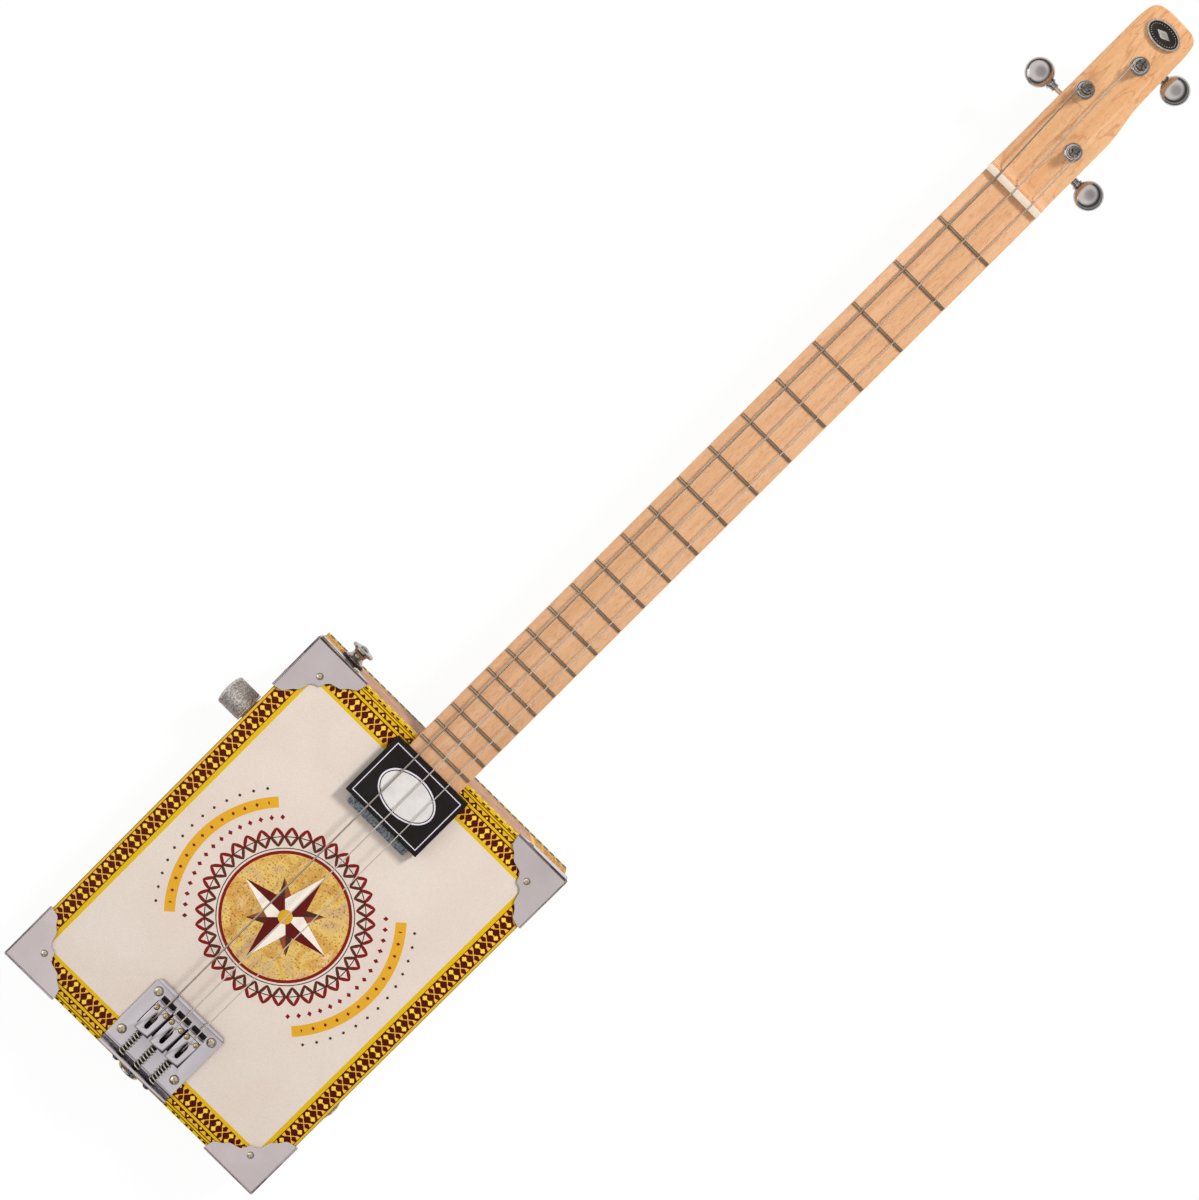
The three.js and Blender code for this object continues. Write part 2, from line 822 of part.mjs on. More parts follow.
// Fretboard with its frets pressed in, as many as it has room for, a slot for the nut and a
// cove behind it
function makeFretboard() {
  const profile = [
    [boardEndY, faceZ],
    [boardEndY, boardTopZ],
    [nutFrontY, boardTopZ],
    [nutFrontY, boardTopZ - nutSlotDepth],
    [nutBackY, boardTopZ - nutSlotDepth],
    [nutBackY, boardTopZ],
    [nutBackY + boardBehindNut, boardTopZ],
  ];
  const coveStart = nutBackY + boardBehindNut;
  for (let step = 1; step <= coveSteps; step += 1) {
    const angle = (step / coveSteps) * (Math.PI / 2);
    profile.push([
      coveStart + coveLength * (1 - Math.cos(angle)),
      boardTopZ - fretboardThickness * Math.sin(angle),
    ]);
  }
  const shape = new THREE.Shape(profile.map(([y, z]) => new THREE.Vector2(y, z)));
  const geometry = new THREE.ExtrudeGeometry(shape, { depth: neckWidth, bevelEnabled: false });
  geometry.rotateX(Math.PI / 2);
  geometry.rotateZ(Math.PI / 2);
  geometry.translate(-halfNeck, 0, 0);
  const frets = [];
  let fretY = nutFrontY - fretDistance(1);
  while (fretY > boardEndY + lastFretMargin) {
    frets.push(makeFret(fretY));
    fretY = nutFrontY - fretDistance(frets.length + 1);
  }
  return join(solidOf(geometry), ...frets);
}

const fretCrownShares = [
  [-0.5, 0],
  [-0.3, 0.75],
  [0, 1],
  [0.3, 0.75],
  [0.5, 0],
];

function makeFret(y) {
  const reach = halfNeck - fretEndInset;
  const section = (x) => [
    ...fretCrownShares.map(([a, b]) => [x, y + a * fretWidth, boardTopZ + b * fretHeight]),
    [x, y + fretWidth / 2, boardTopZ - fretTang],
    [x, y - fretWidth / 2, boardTopZ - fretTang],
  ];
  return skin([section(reach), section(-reach)]);
}

place('fretboard', makeFretboard(), fretboardWood);

// Nut with one slot for each string
const nutTopZ = boardTopZ + nutHeight;
const stringZAtNut = boardTopZ + nutSlotRise + stringRadii[0];

function makeNut() {
  const body = block(
    -halfNeck,
    halfNeck,
    nutFrontY,
    nutBackY,
    boardTopZ - nutSlotDepth,
    nutTopZ,
  );
  const slots = eachString((i) => {
    const x = stringXAtNut(i);
    const reach = stringRadii[i] + fitGap;
    return block(
      x - reach,
      x + reach,
      nutFrontY - cutOverrun,
      nutBackY + cutOverrun,
      stringZAtNut - reach,
      nutTopZ + cutOverrun,
    );
  });
  return cut(body, ...slots);
}

place('nut', makeNut(), bone);

// Tuners. Each is built with its post on the Z axis, its button towards positive X and its
// worm on the side that hand gives, and then set on the headstock.
function makeTunerPlate(hand) {
  const ends = [-hand * tunerPlateBack, hand * tunerPlateFront];
  const y0 = Math.min(...ends);
  const y1 = Math.max(...ends);
  const wormY = hand * wormOffset;
  const x1 = tunerPlateHalfWidth;
  const c = tunerPlateCorner;
  const outline = [
    [x1 - c, y0],
    [x1, y0 + c],
    [x1, y1 - c],
    [x1 - c, y1],
    [-x1 + c, y1],
    [-x1, y1 - c],
    [-x1, y0 + c],
    [-x1 + c, y0],
  ];
  const plate = sheetPiece(outline, tunerPlateZ, headstockBackZ);
  const earTop = tunerPlateZ + tunerSheet / 2;
  const earBottom = gearMidZ - earHalfWidth;
  const ears = [earInside, -earInside - earThickness].map((x) =>
    block(
      x,
      x + earThickness,
      wormY - earHalfWidth,
      wormY + earHalfWidth,
      earBottom,
      earTop,
    ),
  );
  const postHole = bar(
    [0, 0, tunerPlateZ - cutOverrun],
    [0, 0, headstockBackZ + cutOverrun],
    postRadius + fitGap,
    shaftSides,
  );
  const earReach = earInside + earThickness + cutOverrun;
  const shaftHole = bar(
    [-earReach, wormY, gearMidZ],
    [earReach, wormY, gearMidZ],
    wormShaftRadius + fitGap,
    shaftSides,
  );
  const screws = [y0 + tunerScrewMargin, y1 - tunerScrewMargin].map((y) =>
    domeScrew(
      [0, y, tunerPlateZ],
      [0, 0, -1],
      tunerScrewHeadRadius,
      tunerScrewHeadHeight,
      woodScrewLength + tunerSheet,
    ),
  );
  return join(cut(join(plate, ...ears), postHole, shaftHole), ...screws);
}

// The worm's thread: a bar of four corners that winds round the shaft
function makeWormShaft(hand) {
  const rootRadius = wormPitchRadius - toothDedendum;
  const crestRadius = wormPitchRadius + toothAddendum;
  const bedRadius = rootRadius - fitGap;
  const phase = hand > 0 ? 0 : Math.PI;
  const steps = Math.round(threadTurns * threadStepsPerTurn);
  const rings = Array.from({ length: steps + 1 }, (_, k) => {
    const turns = (k - steps / 2 + 0.5) / threadStepsPerTurn;
    const x = turns * toothPitch;
    const angle = 2 * Math.PI * turns + phase;
    const corner = (along, radius) => [
      x + along,
      hand * wormOffset + radius * Math.cos(angle),
      gearMidZ + radius * Math.sin(angle),
    ];
    return [
      corner(threadRootWidth / 2, bedRadius),
      corner(threadCrestWidth / 2, crestRadius),
      corner(-threadCrestWidth / 2, crestRadius),
      corner(-threadRootWidth / 2, bedRadius),
    ];
  });
  const shoulder = earInside - fitGap;
  const shaftEnd = buttonReach - buttonRadius + shaftIntoButton;
  const profile = [
    [0, -wormShaftEnd],
    [wormShaftRadius, -wormShaftEnd],
    [wormShaftRadius, -shoulder],
    [rootRadius, -shoulder],
    [rootRadius, shoulder],
    [wormShaftRadius, shoulder],
    [wormShaftRadius, shaftEnd],
    [0, shaftEnd],
  ];
  const start = [0, hand * wormOffset, gearMidZ];
  const shaft = turned(profile, threadStepsPerTurn, start, [1, 0, 0]);
  return join(skin(rings), shaft);
}

// The button: a domed disc on a stem, bored for the shaft
function makeTunerButton(hand) {
  const y = hand * wormOffset;
  const upperHalf = [
    [buttonRadius, buttonRimHalfThickness],
    ...buttonDomeShares.map(([a, b]) => [a * buttonRadius, b * buttonHalfThickness]),
  ];
  const lowerHalf = upperHalf.map(([radius, z]) => [radius, -z]).reverse();
  const profile = [...lowerHalf, ...upperHalf];
  const disc = turned(profile, buttonSides, [buttonReach, y, gearMidZ], [0, 0, 1]);
  const discEdge = buttonReach - buttonRadius;
  const stemStart = discEdge - buttonStemLength;
  const stem = bar(
    [stemStart, y, gearMidZ],
    [discEdge + buttonRimHalfThickness, y, gearMidZ],
    buttonStemRadius,
    shaftSides,
  );
  const collar = bar(
    [discEdge - buttonCollarLength, y, gearMidZ],
    [discEdge + buttonRimHalfThickness, y, gearMidZ],
    buttonCollarRadius,
    shaftSides,
  );
  const bore = bar(
    [stemStart - cutOverrun, y, gearMidZ],
    [discEdge + shaftIntoButton + fitGap, y, gearMidZ],
    wormShaftRadius + fitGap,
    shaftSides,
  );
  return cut(join(disc, stem, collar), bore);
}

// The post with its gear. The teeth lean by the worm's lead, so they run along its thread.
function makeTunerPost() {
  const outline = [];
  const tipRadius = gearPitchRadius + toothAddendum;
  const rootRadius = gearPitchRadius - toothDedendum;
  for (let tooth = 0; tooth < gearTeeth; tooth += 1) {
    const middle = Math.PI / 2 + (2 * Math.PI * tooth) / gearTeeth;
    const at = (radius, halfArc) => {
      const angle = middle + halfArc / radius;
      outline.push([radius * Math.cos(angle), radius * Math.sin(angle)]);
    };
    at(rootRadius, -toothRootWidth / 2);
    at(tipRadius, -toothTipWidth / 2);
    at(tipRadius, toothTipWidth / 2);
    at(rootRadius, toothRootWidth / 2);
  }
  const shape = new THREE.Shape(outline.map(([x, y]) => new THREE.Vector2(x, y)));
  const geometry = new THREE.ExtrudeGeometry(shape, { depth: gearThickness, bevelEnabled: false });
  geometry.translate(0, 0, -gearThickness / 2);
  const lean = toothPitch / (2 * Math.PI * wormPitchRadius * gearPitchRadius);
  const vertices = geometry.attributes.position;
  for (let i = 0; i < vertices.count; i += 1) {
    const vertex = new THREE.Vector3().fromBufferAttribute(vertices, i);
    vertex.applyAxisAngle(new THREE.Vector3(0, 0, 1), lean * vertex.z);
    vertices.setXYZ(i, vertex.x, vertex.y, vertex.z);
  }
  geometry.translate(0, 0, gearMidZ);
  const gearBottomZ = gearMidZ - gearThickness / 2;
  const waistZ = faceZ + bushingFlangeHeight + fitGap;
  const topZ = faceZ + postTopHeight;
  const profile = [
    [0, gearBottomZ - gearScrewHeight],
    [gearScrewRadius, gearBottomZ - gearScrewHeight],
    [gearScrewRadius, gearBottomZ + fitGap],
    [postRadius, gearBottomZ + fitGap],
    [postRadius, waistZ],
    [postWaistRadius, waistZ + fitGap],
    [postWaistRadius, waistZ + postWaistHeight],
    [postRadius, waistZ + postWaistHeight + fitGap],
    [postRadius, topZ - fitGap],
    [postWaistRadius, topZ],
    [0, topZ],
  ];
  const post = turned(profile, postSides, [0, 0, 0], [0, 0, 1]);
  const holeZ = faceZ + postHoleHeight;
  const reach = postRadius + cutOverrun;
  const hole = bar([-reach, 0, holeZ], [reach, 0, holeZ], postHoleRadius, screwSides);
  return cut(join(solidOf(geometry), post), hole);
}

function makeBushing() {
  const bore = postRadius + fitGap;
  const profile = [
    [bore, faceZ - bushingShankLength],
    [bushingShankRadius, faceZ - bushingShankLength],
    [bushingShankRadius, faceZ],
    [bushingFlangeRadius, faceZ],
    [bushingFlangeRadius, faceZ + bushingFlangeHeight / 2],
    [bushingShankRadius, faceZ + bushingFlangeHeight],
    [bore, faceZ + bushingFlangeHeight],
    [bore, faceZ - bushingShankLength],
  ];
  return turned(profile, bushingSides, [0, 0, 0], [0, 0, 1]);
}

postPlaceShares.forEach(({ hand, turn }, i) => {
  const name = stringNames[i];
  const tuner = new THREE.Group();
  const [x, y] = postPlace(i);
  tuner.position.set(x, y, 0);
  tuner.rotation.z = turn;
  guitar.add(tuner);
  place(`tuner_plate_${name}`, makeTunerPlate(hand), chrome, tuner);
  place(`worm_shaft_${name}`, makeWormShaft(hand), nickel, tuner);
  place(`tuner_button_${name}`, makeTunerButton(hand), chrome, tuner);
  place(`tuner_post_${name}`, makeTunerPost(), chrome, tuner);
  place(`post_bushing_${name}`, makeBushing(), chrome, tuner);
});

// Bridge plate with its bent lip, three holes for the intonation screws and four wood screws
function makeBridgePlate() {
  const x1 = bridgeWidth / 2;
  const c = bridgeCornerCut;
  const outline = [
    [-x1, bridgeRearY],
    [x1, bridgeRearY],
    [x1, bridgeFrontY - c],
    [x1 - c, bridgeFrontY],
    [-x1 + c, bridgeFrontY],
    [-x1, bridgeFrontY - c],
  ];
  const plate = sheetPiece(outline, faceZ, bridgeTopZ);
  const lip = block(-x1, x1, bridgeRearY, bridgeLipFrontY, faceZ, bridgeTopZ + bridgeLipHeight);
  const stringHoles = eachString((i) => {
    const x = stringXAtBridge(i);
    const top = bridgeTopZ + cutOverrun;
    return bar([x, stringHoleY, lidUnderZ], [x, stringHoleY, top], stringHoleRadius, screwSides);
  });
  const screwHoles = eachString((i) => {
    const x = stringXAtBridge(i);
    return bar(
      [x, bridgeRearY - cutOverrun, intonationZ],
      [x, bridgeLipFrontY + cutOverrun, intonationZ],
      intonationScrewRadius + fitGap,
      screwSides,
    );
  });
  const screws = bridgeScrewPlaces.map(([x, y]) =>
    domeScrew(
      [x, y, bridgeTopZ],
      [0, 0, 1],
      bridgeScrewHeadRadius,
      bridgeScrewHeadHeight,
      woodScrewLength + bridgeSheet,
    ),
  );
  return join(cut(join(plate, lip), ...stringHoles, ...screwHoles), ...screws);
}

place('bridge_plate', makeBridgePlate(), satinChrome);

// A saddle: a bent steel strip with a ridge for the string, a slot and two grub screws.
// It is built on the Y axis and then set beside the others.
function makeSaddle(i) {
  const half = saddleWidth / 2;
  const legZ = bridgeTopZ + saddleLegGap;
  const underZ = saddleTopZ - saddleSheet;
  const top = block(-half, half, saddleRearY, saddleFrontY, underZ, saddleTopZ);
  const ridge = block(-half, half, saddleFrontY - saddleSheet, saddleFrontY, legZ, saddleRidgeZ);
  const tab = block(-half, half, saddleRearY, saddleRearY + saddleSheet, legZ, saddleTopZ);
  const slotFront = saddleFrontY - saddleSlotInset;
  const slotReach = saddleSlotWidth / 2;
  const slotRear = slotFront - saddleSlotLength;
  const slotEnd = (y) =>
    bar(
      [0, y, underZ - cutOverrun],
      [0, y, saddleTopZ + cutOverrun],
      slotReach,
      holeSides,
    );
  const slot = join(
    block(
      -slotReach,
      slotReach,
      slotRear + slotReach,
      slotFront - slotReach,
      underZ - cutOverrun,
      saddleTopZ + cutOverrun,
    ),
    slotEnd(slotFront - slotReach),
    slotEnd(slotRear + slotReach),
  );
  const grooveReach = stringRadii[i] + fitGap;
  const groove = block(
    -grooveReach,
    grooveReach,
    saddleFrontY - saddleSheet - cutOverrun,
    saddleFrontY + cutOverrun,
    saddleRidgeZ - stringRadii[i],
    saddleRidgeZ + cutOverrun,
  );
  const screwHole = bar(
    [0, saddleRearY - cutOverrun, intonationZ],
    [0, saddleRearY + saddleSheet + cutOverrun, intonationZ],
    intonationScrewRadius + fitGap,
    screwSides,
  );
  const grubs = [-grubScrewSpread, grubScrewSpread].map((x) => {
    const y = saddleFrontY - grubScrewInset;
    return bar(
      [x, y, bridgeTopZ + fitGap],
      [x, y, saddleTopZ + grubScrewProud],
      grubScrewRadius,
      screwSides,
    );
  });
  return join(cut(join(top, ridge, tab), slot, groove, screwHole), ...grubs);
}

// An intonation screw: its head bears on the lip and its tip passes through the saddle's tab.
function makeIntonationScrew() {
  const headStart = bridgeRearY - fitGap;
  const tipY = saddleRearY + saddleSheet + intonationTipPastTab;
  const length = tipY - headStart;
  const headEnd = -intonationHeadLength;
  const profile = [
    [0, headEnd],
    [intonationHeadRadius - intonationHeadChamfer, headEnd],
    [intonationHeadRadius, headEnd + intonationHeadChamfer],
    [intonationHeadRadius, 0],
    [intonationScrewRadius, 0],
    [intonationScrewRadius, length - intonationScrewRadius / 2],
    [intonationScrewRadius / 2, length],
    [0, length],
  ];
  const body = turned(profile, holeSides, [0, headStart, intonationZ], [0, 1, 0]);
  const crossY = headStart - intonationHeadLength;
  const slotAcross = block(
    -crossReach,
    crossReach,
    crossY - cutOverrun,
    crossY + crossDepth,
    intonationZ - crossWidth / 2,
    intonationZ + crossWidth / 2,
  );
  const slotUpright = block(
    -crossWidth / 2,
    crossWidth / 2,
    crossY - cutOverrun,
    crossY + crossDepth,
    intonationZ - crossReach,
    intonationZ + crossReach,
  );
  return cut(body, slotAcross, slotUpright);
}

// A compression spring between the lip and the saddle's tab
const springStartY = bridgeLipFrontY + fitGap;
const springEndY = saddleRearY - fitGap;
const springEnd = 2 * springWireRadius;

function springPath() {
  const steps = springCurls * springStepsPerCurl;
  const coilStart = springStartY + springEnd;
  const coilLength = springEndY - springEnd - coilStart;
  const path = [[springMeanRadius, springStartY, intonationZ]];
  for (let k = 0; k <= steps; k += 1) {
    const angle = (2 * Math.PI * k) / springStepsPerCurl;
    path.push([
      springMeanRadius * Math.cos(angle),
      coilStart + (coilLength * k) / steps,
      intonationZ + springMeanRadius * Math.sin(angle),
    ]);
  }
  path.push([springMeanRadius, springEndY, intonationZ]);
  return path;
}

const springRoute = springPath();
const springGap = leastGap(springRoute, springStepsPerCurl, springWireRadius);
console.log(`least gap between the curls of a spring: ${springGap.toFixed(2)} mm`);
const saddle = eachString((i) => makeSaddle(i));
const intonationScrew = makeIntonationScrew();
const spring = tube(
  springRoute,
  springRoute.map(() => springWireRadius),
  springSides,
);
eachString((i, name) => {
  place(`saddle_${name}`, saddle[i], satinChrome).position.x = stringXAtBridge(i);
  place(`intonation_screw_${name}`, intonationScrew, nickel).position.x = stringXAtBridge(i);
  place(`intonation_spring_${name}`, spring, springSteel).position.x = stringXAtBridge(i);
});

// A string runs from its post's hole down the windings, over the nut and its saddle, and
// through the lid, the stick and the back to its ball in the anchor.
const windingZ = faceZ + bushingFlangeHeight + 2 * fitGap;
const stringDiveShares = [0.5, 0.85];

function stringPath(i) {
  const radius = stringRadii[i];
  const [postX, postY] = postPlace(i);
  const windingRadius = postWaistRadius + fitGap + radius;
  const rise = 2 * radius + windingGap;
  const nutX = stringXAtNut(i);
  const side = windingSideShares[i];
  const toNut = Math.atan2(nutBackY - postY, nutX - postX);
  const reach = Math.hypot(nutBackY - postY, nutX - postX);
  const tangentAngle = toNut + side * Math.acos(windingRadius / reach);
  const lowZ = windingZ + radius;
  const steps = windingTurns * windingSteps;
  const windings = Array.from({ length: steps + 1 }, (_, k) => {
    const angle = tangentAngle + (side * 2 * Math.PI * k) / windingSteps;
    return [
      postX + windingRadius * Math.cos(angle),
      postY + windingRadius * Math.sin(angle),
      lowZ + (rise * k) / windingSteps,
    ];
  });
  const endTurns = (steps + windingLeadSteps) / windingSteps;
  const endAngle = tangentAngle + side * 2 * Math.PI * endTurns;
  const endZ = lowZ + rise * endTurns;
  const endAt = (distance) => [
    postX + distance * Math.cos(endAngle),
    postY + distance * Math.sin(endAngle),
    endZ,
  ];
  const intoPost = [
    endAt(postWaistRadius + fitGap),
    endAt(postWaistRadius + fitGap + 2 * radius),
  ];
  const bridgeX = stringXAtBridge(i);
  const overRidge = saddleRidgeZ + fitGap;
  const slotStartY = saddleFrontY - saddleSlotInset;
  const dive = stringHoleY - slotStartY;
  const [diveMidShare, diveLowShare] = stringDiveShares;
  const run = [
    [nutX, nutBackY, stringZAtNut],
    [nutX, nutFrontY, stringZAtNut],
    [bridgeX, ridgeY, overRidge],
    [bridgeX, slotStartY, saddleTopZ + radius + fitGap],
    [bridgeX, slotStartY + dive * diveMidShare, saddleTopZ - saddleSheet],
    [bridgeX, slotStartY + dive * diveLowShare, saddleTopZ - 2 * saddleSheet],
    [bridgeX, stringHoleY, bridgeTopZ + saddleSheet],
  ];
  const ballRings = [
    [0, radius],
    [ballShoulder, ballRadius],
    [ballShoulder + ballLength / 2, ballRadius],
    [ballShoulder + ballLength, ballEndRadius],
  ];
  const ballPath = ballRings.map(([drop]) => [bridgeX, stringHoleY, anchorBallDepth - drop]);
  const wirePath = [...intoPost, ...windings.reverse(), ...run];
  const path = [...wirePath, ...ballPath];
  const radii = [...wirePath.map(() => radius), ...ballRings.map(([, ring]) => ring)];
  const gap = leastGap([...intoPost, ...windings], windingSteps, radius);
  console.log(`least gap between the windings of the ${stringNames[i]} string: ${gap.toFixed(2)} mm`);
  return { path, radii };
}

eachString((i, name) => {
  const { path, radii } = stringPath(i);
  place(`string_${name}`, tube(path, radii, stringSides), i === 0 ? nickel : springSteel);
});

// The anchor bar in the back: a hole and a seat for each string's ball
function makeAnchor() {
  const wholeBar = block(
    -anchorWidth / 2,
    anchorWidth / 2,
    stringHoleY - anchorLength / 2,
    stringHoleY + anchorLength / 2,
    0,
    anchorThickness - fitGap,
  );
  const holes = eachString((i) => {
    const x = stringXAtBridge(i);
    const top = anchorThickness + cutOverrun;
    return bar([x, stringHoleY, 0], [x, stringHoleY, top], stringRadii[i] + fitGap, screwSides);
  });
  const seats = eachString((i) => {
    const x = stringXAtBridge(i);
    return bar(
      [x, stringHoleY, -cutOverrun],
      [x, stringHoleY, anchorBallDepth],
      ballRadius + 2 * fitGap,
      bushingSides,
    );
  });
  return cut(wholeBar, ...holes, ...seats);
}

place('string_anchor', makeAnchor(), nickel);

// Pickup: a base plate with its coil, under a shell that is open below
function roundedOutline(halfX, y0, y1, radius) {
  const shape = new THREE.Shape();
  shape.moveTo(halfX, y0 + radius);
  shape.lineTo(halfX, y1 - radius);
  shape.absarc(halfX - radius, y1 - radius, radius, 0, Math.PI / 2, false);
  shape.absarc(-halfX + radius, y1 - radius, radius, Math.PI / 2, Math.PI, false);
  shape.absarc(-halfX + radius, y0 + radius, radius, Math.PI, Math.PI * 1.5, false);
  shape.absarc(halfX - radius, y0 + radius, radius, Math.PI * 1.5, Math.PI * 2, false);
  return shape;
}

function makePickupBase() {
  const half = pickupBaseWidth / 2;
  const front = pickupFrontY - pickupWall - fitGap;
  const base = block(
    -half,
    half,
    pickupRearY - pickupBaseTab,
    front,
    faceZ,
    faceZ + pickupBaseThickness,
  );
  const core = block(
    -pickupCoreWidth / 2,
    pickupCoreWidth / 2,
    pickupMidY - pickupCoreLength / 2,
    pickupMidY + pickupCoreLength / 2,
    faceZ + pickupBaseThickness / 2,
    faceZ + pickupBaseThickness + pickupCoreHeight,
  );
  return join(base, core);
}

function makePickupCover() {
  const shape = roundedOutline(pickupWidth / 2, pickupRearY, pickupFrontY, pickupCornerRadius);
  const geometry = new THREE.ExtrudeGeometry(shape, {
    depth: pickupHeight,
    bevelEnabled: false,
    curveSegments: 3,
  });
  geometry.translate(0, 0, faceZ);
  const cavity = block(
    -pickupWidth / 2 + pickupWall,
    pickupWidth / 2 - pickupWall,
    pickupRearY + pickupWall,
    pickupFrontY - pickupWall,
    faceZ - cutOverrun,
    faceZ + pickupHeight - pickupTopWall,
  );
  const mouth = block(
    -pickupBaseWidth / 2 - fitGap,
    pickupBaseWidth / 2 + fitGap,
    pickupRearY - cutOverrun,
    pickupRearY + pickupWall + cutOverrun,
    faceZ - cutOverrun,
    faceZ + pickupBaseThickness + fitGap,
  );
  return cut(solidOf(geometry), cavity, mouth);
}

place('pickup_base', makePickupBase(), pickupMetal);
place('pickup_cover', makePickupCover(), blackPlastic);

// Volume control: the pot is clamped in the bass wall, and its shaft carries the knob.
// The pieces are turned along negative X from the wall's outer face.
const volumeAxis = (along) => [-halfWidth - along, controlY, midZ];
const nutSidesOfSpanner = 6;

function makePot() {
  const bore = potShaftRadius + fitGap;
  const wallInside = -wallThickness - fitGap;
  const profile = [
    [0, wallInside - potLength],
    [potRadius, wallInside - potLength],
    [potRadius, wallInside],
    [potBushingRadius, wallInside],
    [potBushingRadius, potBushingProud],
    [bore, potBushingProud],
    [bore, wallInside - potShaftInside],
    [0, wallInside - potShaftInside],
  ];
  const pot = turned(profile, jackSides, volumeAxis(0), [-1, 0, 0]);
  const nut = bar(
    volumeAxis(fitGap),
    volumeAxis(fitGap + potNutThickness),
    potNutRadius,
    nutSidesOfSpanner,
  );
  const clear = bar(volumeAxis(-cutOverrun), volumeAxis(potBushingProud), bore, jackSides);
  return cut(join(pot, nut), clear);
}

function makePotShaft() {
  const start = -wallThickness - potShaftInside;
  return bar(volumeAxis(start), volumeAxis(potShaftProud), potShaftRadius, jackSides);
}

function makeKnob() {
  const start = knobStandOff;
  const crownStart = knobStandOff + knobLength - knobCrownLength;
  const boreEnd = potShaftProud + fitGap;
  const bore = potShaftRadius + fitGap;
  const profile = [
    [knobCavityRadius, start],
    [knobRadius, start],
    ...knobCrownShares.map(([a, b]) => [a * knobRadius, crownStart + b * knobCrownLength]),
    [0, boreEnd],
    [bore, boreEnd],
    [bore, start + knobCavityDepth],
    [knobCavityRadius, start + knobCavityDepth],
    [knobCavityRadius, start],
  ];
  return turned(profile, knobSides, volumeAxis(0), [-1, 0, 0]);
}

place('volume_pot', makePot(), nickel);
place('pot_shaft', makePotShaft(), brass);
place('volume_knob', makeKnob(), chrome);

// Output jack: a threaded sleeve in the treble wall, a nut outside and a contact inside
const jackAxis = (along) => [halfWidth + along, jackY, midZ];

function makeJack() {
  const wallInside = -wallThickness - fitGap;
  const flangeEnd = wallInside - jackFlangeThickness;
  const profile = [
    [jackBoreRadius, flangeEnd],
    [jackFlangeRadius, flangeEnd],
    [jackFlangeRadius, wallInside],
    [jackBushingRadius, wallInside],
    [jackBushingRadius, jackBushingProud],
    [jackBoreRadius, jackBushingProud],
    [jackBoreRadius, flangeEnd],
  ];
  const sleeve = turned(profile, jackSides, jackAxis(0), [1, 0, 0]);
  const x1 = halfWidth + flangeEnd + jackFlangeThickness / 2;
  const x0 = x1 - jackContactLength;
  const z0 = midZ - jackContactOffset;
  const strip = block(
    x0,
    x1,
    jackY - jackContactWidth / 2,
    jackY + jackContactWidth / 2,
    z0,
    z0 + jackContactSheet,
  );
  const hook = block(
    x0,
    x0 + jackContactSheet,
    jackY - jackContactWidth / 2,
    jackY + jackContactWidth / 2,
    z0,
    midZ - jackBoreRadius + jackContactSheet,
  );
  const nut = bar(
    jackAxis(fitGap),
    jackAxis(fitGap + jackNutThickness),
    jackNutRadius,
    nutSidesOfSpanner,
  );
  const clear = bar(
    jackAxis(flangeEnd),
    jackAxis(jackBushingProud + cutOverrun),
    jackBoreRadius,
    jackSides,
  );
  return join(sleeve, cut(nut, clear), strip, hook);
}

place('output_jack', makeJack(), nickel);

// Strap buttons, turned along the outward direction from the wall's face
function makeStrapButton(at, sign) {
  const start = strapWasherThickness + 2 * fitGap;
  const end = start + strapButtonLength;
  const profile = [
    [0, -strapScrewIntoWood],
    [strapScrewRadius, -strapScrewIntoWood],
    [strapScrewRadius, start],
    [strapBaseRadius, start],
    [strapBaseRadius, start + strapBaseThickness],
    [strapWaistRadius, start + strapWaistDistance],
    [strapHeadRadius, end - strapHeadThickness],
    [strapHeadRadius, end - strapHeadRounding],
    [strapHeadRadius - strapHeadRounding, end],
    [strapScrewHeadRadius, end],
    [0, end + strapScrewHeadHeight],
  ];
  return turned(profile, strapSides, at, [0, sign, 0]);
}

function makeStrapWasher(at, sign) {
  const bore = strapScrewRadius + fitGap;
  const profile = [
    [bore, fitGap],
    [strapWasherRadius, fitGap],
    [strapWasherRadius, fitGap + strapWasherThickness],
    [bore, fitGap + strapWasherThickness],
    [bore, fitGap],
  ];
  return turned(profile, strapSides, at, [0, sign, 0]);
}

const strapPlaces = [
  { name: 'neck_end', at: [strapButtonX, halfLength, midZ], sign: 1 },
  { name: 'tail_end', at: [0, -halfLength, tailStrapHeight], sign: -1 },
];
strapPlaces.forEach(({ name, at, sign }) => {
  place(`strap_button_${name}`, makeStrapButton(at, sign), chrome);
  place(`strap_washer_${name}`, makeStrapWasher(at, sign), felt);
});

// Plaque: an oval plate with a raised rim
function makePlaque() {
  const centreY = nutBackY + headstockLength - plaqueFromTip;
  const oval = (inset, z0, z1) => {
    const outline = Array.from({ length: plaqueSides }, (_, k) => {
      const angle = (2 * Math.PI * k) / plaqueSides;
      return [
        plaqueX + (plaqueHalfWidth - inset) * Math.cos(angle),
        centreY + (plaqueHalfLength - inset) * Math.sin(angle),
      ];
    });
    return sheetPiece(outline, z0, z1);
  };
  const top = faceZ + plaqueThickness + plaqueRimHeight;
  const whole = oval(0, faceZ, top);
  const field = oval(plaqueRimWidth, faceZ + plaqueThickness, top + cutOverrun);
  return cut(whole, field);
}

place('headstock_plaque', makePlaque(), pewter);

// Leads inside the box, each along a route of chosen points
function makeLead(points) {
  const path = new THREE.CatmullRomCurve3(points.map((point) => new THREE.Vector3(...point)));
  const section = new THREE.Shape(
    Array.from({ length: leadSides }, (_, k) => {
      const angle = (2 * Math.PI * k) / leadSides;
      return new THREE.Vector2(leadRadius * Math.cos(angle), leadRadius * Math.sin(angle));
    }),
  );
  const geometry = new THREE.ExtrudeGeometry(section, { steps: leadSteps, extrudePath: path });
  return solidOf(geometry);
}

